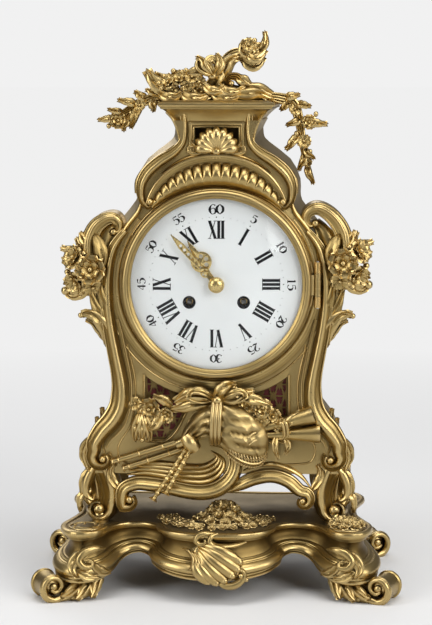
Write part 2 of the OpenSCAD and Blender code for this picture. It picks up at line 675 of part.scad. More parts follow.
// Dial, its seat and the hinged bezel
hinge_axis = [bezel_radius + 4.5, -front_plane - 8];
module dial() {
    color("white") difference() {
        turned([[0, front_plane + 5.6], [30, front_plane + 5.3], [60, front_plane + 4.6], [77.2, front_plane + 3.7],
            [77.2, front_plane + 2], [0, front_plane + 3.4]]);
        arbor(4.6, -front_plane - 8, -front_plane);
        for (s = [-1, 1]) arbor(5.6, -front_plane - 8, -front_plane, x = s * winding_side, z = -winding_drop);
    }
}

module hinge_knuckle(z, h) {
    translate([hinge_axis.x, hinge_axis.y, dial_height + z]) difference() {
        cylinder(r = 3, h = h, $fn = 32);
        translate([0, 0, -1]) cylinder(r = 1.25 + running, h = h + 2, $fn = 32);
    }
}

module bezel_seat() {
    f = front_plane;
    color(brass) {
        turned([[79, f], [85, f], [85, f + 2], [79, f + 2]]);
        difference() {
            turned([[44, f - 5.5], [79.7, f - 5.5], [79.7, f + 1], [79, f + 2], [70, f + 2], [70, f + 0.8], [77.5, f + 0.8],
                [77.5, f - 4], [44, f - 4]]);
            arbor(44, -f - 8, -f + 8);
        }
        for (z = [-20, 10.3]) {
            hinge_knuckle(z, 9.7);
            difference() {
                translate([82, -f - 2, dial_height + z]) cube([8, 2, 9.7]);
                arbor(79, -f - 8, -f + 8, fn = 96);
            }
            translate([hinge_axis.x - 1.5, hinge_axis.y + 2.6, dial_height + z]) cube([3, 3.6, 9.7]);
        }
    }
}

module bezel() {
    f = front_plane + 2.4;
    r = bezel_radius;
    color(gilt) {
        difference() {
            turned([[77.5, f + 1], [r - 2, f], [r, f + 2], [r, f + 5], [r - 1.5, f + 7], [r - 2, f + 9],
                [r - 4, f + 11.5], [r - 6, f + 11], [r - 6.6, f + 8.6], [77.5, f + 8.4], [77.5, f + 6.2],
                [dial_opening, f + 6.2], [dial_opening, f + 3.4], [77.5, f + 3]], fn = 120);
            translate([hinge_axis.x, hinge_axis.y, dial_height - 22]) cylinder(r = 3.5, h = 44, $fn = 32);
        }
        hinge_knuckle(-10, 20);
        difference() {
            translate([r - 4, -f - 8, dial_height - 10]) cube([6, 4, 20]);
            translate([hinge_axis.x, hinge_axis.y, dial_height - 22]) cylinder(r = 2, h = 44, $fn = 32);
        }
    }
}

glass_edge = front_plane + 2.4 + 6.3;
glass_ball = (pow(77, 2) + pow(glass_rise, 2)) / (2 * glass_rise);
function dome(r0, back, steps) = [for (i = [0:steps]) let (r = r0 * i / steps)
    [r, glass_edge + sqrt(pow(glass_ball, 2) - r * r) - glass_ball + glass_rise - back]];
module dial_glass() {
    top = dome(77, 0, 16);
    under = dome(75.2, 1.6, 16);
    color([0.9, 0.95, 1, 0.3]) turned(concat(top, [[77, glass_edge - 0.1], [75.2, glass_edge - 0.1]],
        [for (i = [16:-1:0]) under[i]]), fn = 120);
}

module bezel_hinge_pin() {
    color(steel) translate([hinge_axis.x, hinge_axis.y, dial_height - 21]) cylinder(r = 1.25, h = 42, $fn = 32);
}

// Hands: drawn pointing at twelve, with pierced discs and leaf tips
module pierced_disc(z, r) {
    translate([0, z]) difference() {
        circle(r = r, $fn = 40);
        for (k = [0:5]) rotate(60 * k) translate([r * 0.55, 0]) circle(r = r * 0.2, $fn = 20);
    }
}
module hand_arm(z0, z1, w0, w1) {
    polygon([[-w0, z0], [w0, z0], [w1, z1], [-w1, z1]]);
}
module minute_hand() {
    color(gilt) translate([0, 0, dial_height]) rotate([0, minute_angle, 0]) {
        upright(-front_plane - 11.4, 1) difference() {
            union() {
                hand_arm(2, 12, 2.4, 1.4);
                pierced_disc(14.5, 4.4);
                hand_arm(18, 46, 2.2, 3);
                hand_arm(46, 59.5, 3, 0.3);
            }
            circle(r = 2.2 + running, $fn = 32);
            for (k = [0:5]) translate([0, 21.5 + 5 * k]) circle(r = 1.3, $fn = 16);
        }
        rotate([90, 0, 0]) translate([0, 0, front_plane + 11.4])
            rotate_extrude($fn = 40) polygon(concat([[0, 0.4], [0, 6.6]],
                [for (i = [1:8]) [7.2 * sin(11.25 * i), 0.6 + 6 * cos(11.25 * i)]],
                [[7, 0], [2.25, 0], [2.25, 0.4]]));
    }
}
module hour_hand() {
    color(gilt) translate([0, 0, dial_height]) rotate([0, hour_angle, 0])
        upright(-front_plane - 8, 1) difference() {
            union() {
                circle(r = 5.6, $fn = 40);
                hand_arm(4, 15, 2.2, 1.6);
                pierced_disc(24, 9.2);
                hand_arm(32, 39, 3, 2);
                hand_arm(39, 46, 2, 0.3);
            }
            circle(r = 3.4, $fn = 32);
        }
}

// Gears: each flank runs straight between the root and the tip of an involute
pressure = 25;
function inv(a) = tan(a) * 180 / PI - a;
function flank(r, teeth, m, play) =
    let (rb = teeth * m / 2 * cos(pressure)) 90 / teeth - play + inv(pressure) - inv(acos(min(1, rb / r)));
function tooth(teeth, m, root, top, play) =
    let (p = teeth * m / 2, low = max(p - root * m, p * cos(pressure) + 0.001), r = [p - root * m, p + top * m])
    [for (i = [0, 1]) [r[i], flank(max(r[i], low), teeth, m, play)]];
module gear_outline(teeth, m, root = 1.15, top = 0.85, play = 0) {
    half = tooth(teeth, m, root, top, play + 9 / teeth);
    polygon([for (k = [0:teeth - 1]) let (c = 360 * k / teeth) each concat(
        [for (i = [0, 1]) half[i][0] * [cos(c - half[i][1]), sin(c - half[i][1])]],
        [for (i = [1, 0]) half[i][0] * [cos(c + half[i][1]), sin(c + half[i][1])]])]);
}
// Gear on an arbor that runs along the depth; turn is its phase seen from the front
module gear(teeth, m, y, t, x, z, turn = 0, spokes = 0, hub = 2) {
    rim = teeth * m / 2 - 1.6 * m - 1.6;
    translate([x, 0, dial_height + z]) rotate([0, -turn, 0]) upright(y, t) difference() {
        gear_outline(teeth, m);
        if (spokes > 0) for (k = [0:spokes - 1]) rotate(360 * (k + 0.5) / spokes)
            translate([(rim + hub) / 2 + 0.6, 0]) circle(r = (rim - hub) / 2 - 0.9, $fn = 24);
    }
}
// Phase of a gear at direction dir from a mate, so that a tooth meets a gap
function mesh_phase(dir, mate_teeth, mate_turn, teeth) =
    dir + 180 + 180 / teeth + (dir - mate_turn) * mate_teeth / teeth;

// Third corner of a triangle from two corners and the distances to it
function corner(a, b, ra, rb, side) =
    let (d = norm(b - a), u = unit(b - a), e = (ra * ra - rb * rb + d * d) / (2 * d), h = sqrt(ra * ra - e * e))
    a + e * u + side * h * [-u.y, u.x];
function bearing(a, b) = atan2(b.y - a.y, b.x - a.x);
module bored(r, y0, y1, at) {
    difference() {
        children();
        arbor(r, y0, y1, x = at.x, z = at.y);
    }
}

// Motion work in front of the front plate
plate_front = -front_plane + 5.5;
plate_back = plate_front + 2.5 + plate_gap;
minute_pinion = 10;
hour_teeth = 40;
motion_distance = (cannon_teeth + minute_teeth) * motion_module / 2;
hour_module = 2 * motion_distance / (minute_pinion + hour_teeth);
minute_at = motion_distance * [sin(30), cos(30)];
minute_dir = bearing([0, 0], minute_at);
minute_turn = mesh_phase(minute_dir, cannon_teeth, 0, minute_teeth);

module cannon_pinion() {
    color(steel) bored(1.2 + running, -front_plane - 14, plate_front, [0, 0]) {
        arbor(2.2, -front_plane - 11.7, plate_front - 0.3);
        gear(cannon_teeth, motion_module, plate_front - 2, 1.7, 0, 0);
    }
}
module minute_wheel() {
    color(brass) bored(0.8 + running, plate_front - 8, plate_front + 1, minute_at) {
        gear(minute_teeth, motion_module, plate_front - 1.7, 1.2, minute_at.x, minute_at.y, turn = minute_turn, spokes = 4);
        gear(minute_pinion, hour_module, plate_front - 4.6, 2.9, minute_at.x, minute_at.y,
            turn = minute_turn);
    }
}
module hour_wheel() {
    dir = bearing(minute_at, [0, 0]);
    color(brass) bored(2.2 + running, -front_plane - 12, plate_front, [0, 0]) {
        gear(hour_teeth, hour_module, plate_front - 4.2, 1.2, 0, 0,
            turn = mesh_phase(dir, minute_pinion, minute_turn, hour_teeth));
        arbor(3.4, -front_plane - 8.4, plate_front - 3);
    }
}

// Going train between the plates
barrel_teeth = 76;
barrel_module = 0.5;
inter_pinion = 10;
inter_teeth = 66;
inter_module = 0.45;
centre_pinion = 10;
centre_teeth = 76;
centre_module = 0.35;
third_pinion = 10;
third_teeth = 68;
third_module = 0.33;
escape_pinion = 10;
barrel_at = [winding_side, -winding_drop];
strike_at = [-winding_side, -winding_drop];
inter_at = corner([0, 0], barrel_at, (inter_teeth + centre_pinion) * inter_module / 2,
    (barrel_teeth + inter_pinion) * barrel_module / 2, 1);
third_at = (centre_teeth + third_pinion) * centre_module / 2 * [cos(118), sin(118)];
escape_distance = (third_teeth + escape_pinion) * third_module / 2;
escape_at = [0, third_at.y + sqrt(pow(escape_distance, 2) - pow(third_at.x, 2))];
pallet_at = escape_at + [0, 12.5];
escape_turn = 0;
third_turn = mesh_phase(bearing(escape_at, third_at), escape_pinion, escape_turn, third_teeth);
centre_turn = mesh_phase(bearing(third_at, [0, 0]), third_pinion, third_turn, centre_teeth);
inter_turn = mesh_phase(bearing([0, 0], inter_at), centre_pinion, centre_turn, inter_teeth);
barrel_turn = mesh_phase(bearing(inter_at, barrel_at), inter_pinion, inter_turn, barrel_teeth);
// Distances of the wheels behind the front plate's rear face
gap_start = plate_front + 2.5;

module train_arbor(at, r) {
    arbor(r, gap_start + 0.4, plate_back - 0.4, x = at.x, z = at.y);
    arbor(0.7, plate_front + 0.3, plate_back + 2.2, x = at.x, z = at.y);
}
module escape_wheel() {
    y = gap_start + 5;
    color(brass) {
        translate([escape_at.x, 0, dial_height + escape_at.y]) upright(y, 1) difference() {
            polygon([for (k = [0:29]) each [9 * [cos(12 * k), sin(12 * k)], 7.4 * [cos(12 * k + 2), sin(12 * k + 2)],
                7.4 * [cos(12 * k + 9), sin(12 * k + 9)]]]);
            for (k = [0:3]) rotate(90 * k + 45) translate([4.4, 0]) circle(r = 1.9, $fn = 20);
        }
        gear(escape_pinion, third_module, gap_start + 10.5, 5, escape_at.x, escape_at.y, turn = escape_turn);
        train_arbor(escape_at, 1.1);
    }
}
module third_wheel() {
    color(brass) {
        gear(third_teeth, third_module, gap_start + 12, 1.1, third_at.x, third_at.y, turn = third_turn, spokes = 5);
        gear(third_pinion, centre_module, gap_start + 16, 5, third_at.x, third_at.y, turn = third_turn);
        train_arbor(third_at, 1.2);
    }
}
module centre_wheel() {
    color(brass) {
        gear(centre_teeth, centre_module, gap_start + 17.5, 1.2, 0, 0, turn = centre_turn, spokes = 5);
        gear(centre_pinion, inter_module, gap_start + 20.5, 5, 0, 0, turn = centre_turn);
        train_arbor([0, 0], 1.4);
        arbor(1.2, -front_plane - 11, gap_start + 1);
    }
}
module intermediate_wheel() {
    color(brass) {
        gear(inter_teeth, inter_module, gap_start + 22.5, 1.4, inter_at.x, inter_at.y, turn = inter_turn, spokes = 5);
        gear(inter_pinion, barrel_module, gap_start + 14.5, 6, inter_at.x, inter_at.y, turn = inter_turn);
        train_arbor(inter_at, 1.4);
    }
}
module drum(at, y, length) {
    difference() {
        arbor(16.4, y, y + length, x = at.x, z = at.y, fn = 64);
        arbor(15, y + 1.2, y + length - 1.2, x = at.x, z = at.y, fn = 64);
        arbor(2.2 + running, y - 1, y + length + 8, x = at.x, z = at.y);
    }
}
module going_barrel() {
    color(brass) {
        drum(barrel_at, gap_start + 1.2, 14);
        difference() {
            gear(barrel_teeth, barrel_module, gap_start + 15.2, 2, barrel_at.x, barrel_at.y, turn = barrel_turn);
            arbor(2.2 + running, gap_start, gap_start + 24, x = barrel_at.x, z = barrel_at.y);
        }
    }
}
module strike_barrel() {
    color(brass) {
        drum(strike_at, gap_start + 1.2, 14);
        difference() {
            gear(barrel_teeth, barrel_module, gap_start + 15.2, 2, strike_at.x, strike_at.y);
            arbor(2.2 + running, gap_start, gap_start + 24, x = strike_at.x, z = strike_at.y);
        }
    }
}
// Winding arbor: pivots in both plates, its square reaches the dial's winding hole
module winding_arbor(at) {
    color(steel) {
        arbor(2.2, plate_front - 0.6, plate_back + 1.6, x = at.x, z = at.y);
        translate([at.x - 1.5, -front_plane - 2.4, dial_height + at.y - 1.5])
            cube([3, front_plane + 2.4 + plate_front, 3]);
    }
}
module going_arbor() { winding_arbor(barrel_at); }
module strike_arbor() { winding_arbor(strike_at); }

pillar_places = [[32, 32], [-32, 32], [12, -44], [-12, -44]];
hammer_pivot = [46, -5];
module movement_plate(y, t) {
    difference() {
        arbor(plate_radius, y, y + t, fn = 96);
        for (p = [barrel_at, strike_at]) arbor(2.2 + running, y - 1, y + t + 1, x = p.x, z = p.y);
        for (p = [inter_at, third_at, escape_at]) arbor(0.7 + running, y - 1, y + t + 1, x = p.x, z = p.y);
        arbor(1.2 + running, y - 1, y + t + 1, x = hammer_pivot.x, z = hammer_pivot.y);
        arbor(1.4 + running, y - 1, y + t + 1);
    }
}
module front_plate() {
    color(brass) {
        bored(0.7 + running, plate_front - 1, gap_start + 1, pallet_at) movement_plate(plate_front, 2.5);
        arbor(0.8, plate_front - 5, plate_front + 0.5, x = minute_at.x, z = minute_at.y);
    }
}
module back_plate() {
    stand = [-40, -22];
    y = plate_back;
    z = dial_height + pallet_at.y;
    color(brass) {
        difference() {
            movement_plate(y, 2.5);
            arbor(2.5, y - 1, y + 4, x = pallet_at.x, z = pallet_at.y);
        }
        arbor(2, y + 2, y + 14.5, x = stand.x, z = stand.y);
        translate([stand.x, y + 12.5, dial_height + stand.y - 3]) cube([-stand.x, 2, 6]);
        arbor(1.6, y + 12.5, y + 45, z = stand.y);
        difference() {
            translate([-7, y + 2, z - 3]) cube([14, 3.7, 11]);
            translate([-5, y + 1, z - 4]) cube([10, 3.7, 10]);
            arbor(0.7 + running, y, y + 8, z = pallet_at.y);
        }
        translate([-5, y + 5, z + 4]) cube([10, 6, 4]);
    }
}
module plate_pillars() {
    color(brass) for (p = pillar_places)
        turned([[0, -gap_start], [4, -gap_start], [4, -gap_start - 3], [2.6, -gap_start - 6], [3.4, -gap_start - plate_gap / 2],
            [2.6, -gap_start - plate_gap + 6], [4, -gap_start - plate_gap + 3], [4, -gap_start - plate_gap],
            [0, -gap_start - plate_gap]], fn = 32, x = p.x, z = p.y);
}

module pallet_anchor() {
    y = gap_start + 4;
    color(steel) {
        translate([pallet_at.x, 0, dial_height + pallet_at.y]) upright(y, 3) {
            circle(r = 2.4, $fn = 24);
            for (s = [-1, 1])
                polygon([[0, 1.6], [s * 8.8, -4.4], [s * 10.3, -10.2], [s * 9.5, -9.8], [s * 7.6, -5.4], [0, -1.6]]);
        }
        arbor(1.1, gap_start + 0.4, plate_back + 4.4, x = pallet_at.x, z = pallet_at.y);
        arbor(0.7, plate_front + 0.3, plate_back + 5.5, x = pallet_at.x, z = pallet_at.y);
        translate([-1, plate_back + 3, dial_height + pallet_at.y - 44]) cube([2, 1.4, 45]);
    }
}
module pendulum() {
    y = plate_back + 9;
    z = dial_height + pallet_at.y;
    color(brass) {
        translate([-2.5, y - 3, z - 4]) cube([5, 6, 6]);
        translate([-2, y - 0.2, z + 1]) cube([4, 0.4, 2.9]);
        translate([0, y, z - pendulum_length - 20]) cylinder(r = 1.2, h = pendulum_length + 18, $fn = 24);
        translate([-1.6, plate_back + 4.4, z - 43]) cube([3.2, 5, 2.4]);
        translate([0, y, z - pendulum_length]) rotate([90, 0, 0]) rotate_extrude($fn = 64)
            polygon([[0, -4], [6, -3.8], [14, -2], [17, -0.5], [17, 0.5], [14, 2], [6, 3.8], [0, 4]]);
        translate([0, y, z - pendulum_length - 22]) cylinder(r = 2.4, h = 4, $fn = 24);
    }
}

bell_back = plate_back + 42;
bell_at = [0, -22];
function bell_wall(back) = [for (i = [0:10]) let (a = 9 * i) [(34 - back) * sin(a), -bell_back + back - 24 * (cos(a) - 1)]];
module bell() {
    color("darkgoldenrod") difference() {
        turned(concat(bell_wall(0), [[36, -bell_back + 26], [34.4, -bell_back + 26]],
            [for (i = [10:-1:0]) bell_wall(1.6)[i]]), fn = 96, z = bell_at.y);
        arbor(1.6 + running, bell_back - 10, bell_back + 10, z = bell_at.y);
    }
}
module bell_hammer() {
    color(steel) {
        arbor(1.2, plate_front + 0.3, plate_back + 27, x = hammer_pivot.x, z = hammer_pivot.y);
        translate([hammer_pivot.x - 1, plate_back + 24, dial_height + hammer_pivot.y - 22]) cube([2, 2, 22]);
        arbor(3.4, plate_back + 20, plate_back + 29, x = hammer_pivot.x, z = hammer_pivot.y - 22);
    }
}

base_platform();
foot_front_left();
foot_front_right();
foot_rear_left();
foot_rear_right();
skirt_shell();
base_bolts();
case_front();
case_walls();
case_back();
cornice();
fluted_hood();
neck_shell();
left_frame_scroll();
right_frame_scroll();
left_side_mount();
right_side_mount();
leg_front_left();
leg_front_right();
leg_rear_left();
leg_rear_right();
front_apron();
rear_apron();
left_fret();
right_fret();
silk_backing();
trophy_bag();
trophy_pipes();
trophy_horns();
trophy_flowers();
crest();
left_garland();
right_garland();
dial();
bezel_seat();
bezel();
dial_glass();
bezel_hinge_pin();
minute_hand();
hour_hand();
front_plate();
back_plate();
plate_pillars();
cannon_pinion();
minute_wheel();
hour_wheel();
centre_wheel();
intermediate_wheel();
third_wheel();
escape_wheel();
going_barrel();
going_arbor();
strike_barrel();
strike_arbor();
pallet_anchor();
pendulum();
bell();
bell_hammer();
back_door();
back_door_pin();
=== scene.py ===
"""A gilt bronze mantel clock with an enamel dial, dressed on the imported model's frame.

Lengths are written in millimetres and placed in metres: X to the right seen from
the front, Y to the back, Z up, with the feet at zero.
"""

import logging
import math
from dataclasses import dataclass, field
from enum import Enum
from typing import Callable, Dict, Iterable, List, Optional, Sequence, Tuple

import bpy
import numpy as np
from mathutils import Matrix, Vector


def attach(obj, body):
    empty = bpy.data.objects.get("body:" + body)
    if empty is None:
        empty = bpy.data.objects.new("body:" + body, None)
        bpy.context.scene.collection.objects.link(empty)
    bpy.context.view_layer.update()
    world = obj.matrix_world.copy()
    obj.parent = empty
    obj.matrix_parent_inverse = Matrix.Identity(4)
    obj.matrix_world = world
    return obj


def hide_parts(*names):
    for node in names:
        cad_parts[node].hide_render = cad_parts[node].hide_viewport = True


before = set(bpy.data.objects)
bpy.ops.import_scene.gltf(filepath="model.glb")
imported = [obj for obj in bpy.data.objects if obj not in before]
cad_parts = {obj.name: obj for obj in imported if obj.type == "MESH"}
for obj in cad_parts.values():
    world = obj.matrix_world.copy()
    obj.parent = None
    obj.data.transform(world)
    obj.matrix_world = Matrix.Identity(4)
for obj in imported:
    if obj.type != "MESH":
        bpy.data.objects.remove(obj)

MM = 0.001
FRONT = -50.0
BACK = 58.0
DIAL_HEIGHT = 278.0
PLATFORM_TOP = 62.0
WELD = 0.001
FINE_WELD = 0.0005
SILK_WELD = 0.0001
EVEN = 0.7
Values = Sequence[float]
Line = Sequence[Sequence[float]]
Pair = Tuple[float, float]
Triple = Tuple[float, float, float]

log = logging.getLogger("clock")


# Shader maths and finishes


class Sock:
    """A value in a finish's node tree, so that shader maths reads as plain expressions."""

    def __init__(self, tree: bpy.types.NodeTree, socket: bpy.types.NodeSocket) -> None:
        """Wraps an output socket, and the node tree that it is in."""
        self.tree = tree
        self.socket = socket

    def maths(self, operation: str, *others: "Sock | float", first: "Sock | float | None" = None) -> "Sock":
        """Adds one Math node.

        Args:
            operation: The node's operation.
            others: What the value is combined with.
            first: What stands first in place of this value, which then comes second.

        Returns:
            The node's output.
        """
        made = self.tree.nodes.new("ShaderNodeMath")
        made.operation = operation
        terms = [self, *others] if first is None else [first, self]
        for plug, term in zip(made.inputs, terms):
            if isinstance(term, Sock):
                self.tree.links.new(term.socket, plug)
            else:
                plug.default_value = term
        return Sock(self.tree, made.outputs[0])

    def __add__(self, other: "Sock | float") -> "Sock":
        """Sum."""
        return self.maths("ADD", other)

    def __radd__(self, other: float) -> "Sock":
        """Sum with a number on the left."""
        return self.maths("ADD", other)

    def __sub__(self, other: "Sock | float") -> "Sock":
        """Difference."""
        return self.maths("SUBTRACT", other)

    def __rsub__(self, other: float) -> "Sock":
        """Difference from a number."""
        return self.maths("SUBTRACT", first=other)

    def __mul__(self, other: "Sock | float") -> "Sock":
        """Product."""
        return self.maths("MULTIPLY", other)

    def __rmul__(self, other: float) -> "Sock":
        """Product with a number on the left."""
        return self.maths("MULTIPLY", other)

    def __pow__(self, power: float) -> "Sock":
        """Power."""
        return self.maths("POWER", power)

    def kept(self) -> "Sock":
        """The value kept between 0 and 1."""
        made = self.maths("ADD", 0.0)
        made.socket.node.use_clamp = True
        return made

    def between(self, low: float, high: float) -> "Sock":
        """Rises from 0 to 1 while the value goes from low to high."""
        return ((self - low) * (1.0 / (high - low))).kept()


class Palette:
    """The node tree of one material, with a Principled shader to feed."""

    def __init__(self, name: str, **constants: object) -> None:
        """Starts a material.

        Args:
            name: The material's name.
            constants: Values for the shader's sockets, with underscores for spaces.
        """
        self.material = bpy.data.materials.new(name)
        self.material.use_nodes = True
        self.tree = self.material.node_tree
        self.tree.nodes.clear()
        self.output = self.tree.nodes.new("ShaderNodeOutputMaterial")
        self.shader = self.tree.nodes.new("ShaderNodeBsdfPrincipled")
        self.tree.links.new(self.shader.outputs[0], self.output.inputs[0])
        for key, value in constants.items():
            self.shader.inputs[key.replace("_", " ")].default_value = value
        self.place = self.node("ShaderNodeTexCoord").outputs["Object"]

    def node(self, kind: str, settings: Optional[Dict[str, object]] = None,
             **plugs: object) -> bpy.types.Node:
        """Adds any node.

        Args:
            kind: The node's type.
            settings: Attributes set first; "stops" fills a colour ramp.
            plugs: Values or links of its sockets, with underscores for spaces.

        Returns:
            The node.
        """
        made = self.tree.nodes.new(kind)
        for key, value in (settings or {}).items():
            if key == "stops":
                ramp = made.color_ramp
                while len(ramp.elements) < len(value):
                    ramp.elements.new(0.5)
                for stop, (place, colour) in zip(ramp.elements, value):
                    stop.position = place
                    stop.color = (*colour, 1.0)
            else:
                setattr(made, key, value)
        for key, value in plugs.items():
            plug = made.inputs[key.replace("_", " ")]
            if isinstance(value, Sock):
                self.tree.links.new(value.socket, plug)
            elif isinstance(value, bpy.types.NodeSocket):
                self.tree.links.new(value, plug)
            else:
                plug.default_value = value
        return made

    def noise(self, size: float, detail: float = 3.0, stretch: Triple = (1, 1, 1)) -> Sock:
        """Cloudy variation over the surface.

        Args:
            size: The size of one cloud in millimetres.
            detail: How many finer layers it has.
            stretch: How much finer it is along each axis.

        Returns:
            A value about 0.5.
        """
        laid = self.node("ShaderNodeMapping", Vector=self.place, Scale=stretch)
        made = self.node("ShaderNodeTexNoise", Vector=laid.outputs[0], Scale=1.0 / (size * MM), Detail=detail)
        return Sock(self.tree, made.outputs[0])

    def speck(self, size: float) -> Sock:
        """Distance to scattered points, a size in millimetres apart, for stippled grounds."""
        made = self.node("ShaderNodeTexVoronoi", Vector=self.place, Scale=1.0 / (size * MM))
        return Sock(self.tree, made.outputs[0])

    def relief(self) -> Sock:
        """How far each point of a casting stands out of its hollows, from 0 to 1."""
        made = self.node("ShaderNodeAttribute", {"attribute_name": "relief"})
        return Sock(self.tree, made.outputs["Fac"])

    def edge(self) -> Sock:
        """How sharply the surface turns outwards: 0 in creases, 1 on edges."""
        return Sock(self.tree, self.node("ShaderNodeNewGeometry").outputs["Pointiness"]).between(0.44, 0.56)

    def blend(self, factor: Sock, low: Values, high: "Values | bpy.types.NodeSocket") -> bpy.types.NodeSocket:
        """Mixes two colours.

        Args:
            factor: 0 gives low and 1 gives high.
            low: A colour or a link to one.
            high: A colour or a link to one.

        Returns:
            The mixed colour.
        """
        made = self.tree.nodes.new("ShaderNodeMix")
        made.data_type = "RGBA"
        self.tree.links.new(factor.socket, made.inputs[0])
        for plug, colour in ((made.inputs[6], low), (made.inputs[7], high)):
            if isinstance(colour, bpy.types.NodeSocket):
                self.tree.links.new(colour, plug)
            else:
                plug.default_value = (*colour, 1.0)
        return made.outputs[2]

    def feed(self, plug: str, value: "Sock | bpy.types.NodeSocket") -> None:
        """Links a value to the named socket of the shader."""
        socket = value.socket if isinstance(value, Sock) else value
        self.tree.links.new(socket, self.shader.inputs[plug])

    def bump(self, height: Sock, depth: float) -> None:
        """Raises the surface by a height map from 0 to 1, with a depth in millimetres."""
        made = self.node("ShaderNodeBump", Height=height, Distance=depth * MM, Strength=1.0)
        self.feed("Normal", made.outputs[0])

    def layer(self, factor: Sock, under: bpy.types.Node, over: bpy.types.Node) -> None:
        """Shows a mixture of two shaders.

        Args:
            factor: 0 shows the first and 1 the second.
            under: The first shader.
            over: The second shader.
        """
        mixed = self.node("ShaderNodeMixShader", Fac=factor)
        self.tree.links.new(under.outputs[0], mixed.inputs[1])
        self.tree.links.new(over.outputs[0], mixed.inputs[2])
        self.tree.links.new(mixed.outputs[0], self.output.inputs[0])


@dataclass(frozen=True)
class Gilding:
    """Fire gilding over chased bronze, burnished on the edges, with brown patina and painted shade in the
    hollows and creases.
    """

    name: str
    gold: Triple
    shade: Triple
    polish: float = 0.24
    grain: float = 0.05
    stipple: float = 0.0

    def made(self) -> bpy.types.Material:
        """Lays the finish.

        Returns:
            The material.
        """
        p = Palette(self.name, Metallic=1.0)
        hollow = 1.0 - p.relief().between(0.0, 0.55)
        cloud = p.noise(22.0, 4.0)
        fine = p.noise(1.6, 3.0)
        # Painted shade: hollows and creases are darkened towards the shade colour for the shade that falls in
        # them, mixed with brown patina and a cloudy tone that varies at random.
        hollow_shade_and_patina = (hollow * 0.75 + (1.0 - p.edge()) * 0.35 + (cloud - 0.5) * 0.5).kept()
        worn = tuple(min(1.0, c * 1.12 + 0.03) for c in self.gold)
        gold = p.blend(p.edge().between(0.55, 1.0), self.gold, worn)
        p.feed("Base Color", p.blend(hollow_shade_and_patina, gold, self.shade))
        p.feed("Roughness", (self.polish + hollow_shade_and_patina * 0.22 + (fine - 0.5) * 0.12 + (cloud - 0.5) * 0.1).kept())
        height = fine * 0.6 + p.noise(5.0, 2.0) * 0.8
        if self.stipple:
            height = height + p.speck(1.1).between(0.0, 0.6) * self.stipple
        p.bump(height, self.grain)
        return p.material


@dataclass(frozen=True)
class Turned:
    """Plain machined metal with faint marks of the lathe and the file."""

    name: str
    colour: Triple
    tarnish: Triple
    polish: float = 0.25

    def made(self) -> bpy.types.Material:
        """Lays the finish.

        Returns:
            The material.
        """
        p = Palette(self.name, Metallic=1.0)
        cloud = p.noise(9.0, 3.0)
        marks = p.noise(0.9, 2.0, (1.0, 0.15, 1.0))
        p.feed("Base Color", p.blend(cloud.between(0.45, 0.75), self.colour, self.tarnish))
        p.feed("Roughness", (self.polish + (cloud - 0.5) * 0.2 + (marks - 0.5) * 0.15).kept())
        p.bump(marks, 0.01)
        return p.material


@dataclass(frozen=True)
class Enamel:
    """Fired enamel, glossy over a slightly uneven ground."""

    name: str
    colour: Triple
    tint: Triple
    gloss: float = 0.12
    coat: float = 0.6
    shine: float = 0.5

    def made(self) -> bpy.types.Material:
        """Lays the finish.

        Returns:
            The material.
        """
        p = Palette(self.name, Metallic=0.0, Coat_Weight=self.coat, Coat_Roughness=0.06,
                    Specular_IOR_Level=self.shine)
        cloud = p.noise(26.0, 3.0)
        p.feed("Base Color", p.blend(cloud.between(0.35, 0.75), self.colour, self.tint))
        p.feed("Roughness", (self.gloss + cloud * 0.12).kept())
        p.bump(p.noise(14.0, 2.0), 0.02)
        return p.material


@dataclass(frozen=True)
class Glass:
    """Old clear glass with a faint waviness."""

    name: str
    gloss: float = 0.42

    def made(self) -> bpy.types.Material:
        """Lays the finish: mostly clear, with a gloss that grows towards the rim.

        Returns:
            The material.
        """
        p = Palette(self.name, Metallic=1.0, IOR=1.45, Base_Color=(1.0, 1.0, 1.0, 1.0))
        wave = p.noise(30.0, 2.0)
        p.feed("Roughness", (0.02 + wave * 0.02).kept())
        p.bump(wave, 0.05)
        clear = p.node("ShaderNodeBsdfTransparent", Color=(0.985, 0.99, 0.985, 1.0))
        rim = p.node("ShaderNodeFresnel", IOR=1.4)
        p.layer((Sock(p.tree, rim.outputs[0]) * self.gloss).kept(), clear, p.shader)
        return p.material


@dataclass(frozen=True)
class Silk:
    """Woven red silk seen through the frets."""

    name: str
    colour: Triple
    shade: Triple

    def made(self) -> bpy.types.Material:
        """Lays the finish.

        Returns:
            The material.
        """
        p = Palette(self.name, Metallic=0.0, Sheen_Weight=0.5, Sheen_Roughness=0.4)
        weft = p.node("ShaderNodeTexWave", {"wave_type": "BANDS", "bands_direction": "X"}, Vector=p.place,
                      Scale=420.0)
        warp = p.node("ShaderNodeTexWave", {"wave_type": "BANDS", "bands_direction": "Z"}, Vector=p.place,
                      Scale=420.0)
        weave = Sock(p.tree, weft.outputs["Fac"]) * 0.5 + Sock(p.tree, warp.outputs["Fac"]) * 0.5
        # Painted shade and light: cloudy patches, darker and lighter, stand for small folds in the silk.
        fold = p.noise(18.0, 2.0)
        p.feed("Base Color", p.blend((weave * 0.5 + fold * 0.5).kept(), self.shade, self.colour))
        p.feed("Roughness", (0.55 + weave * 0.2).kept())
        p.bump(weave, 0.08)
        return p.material


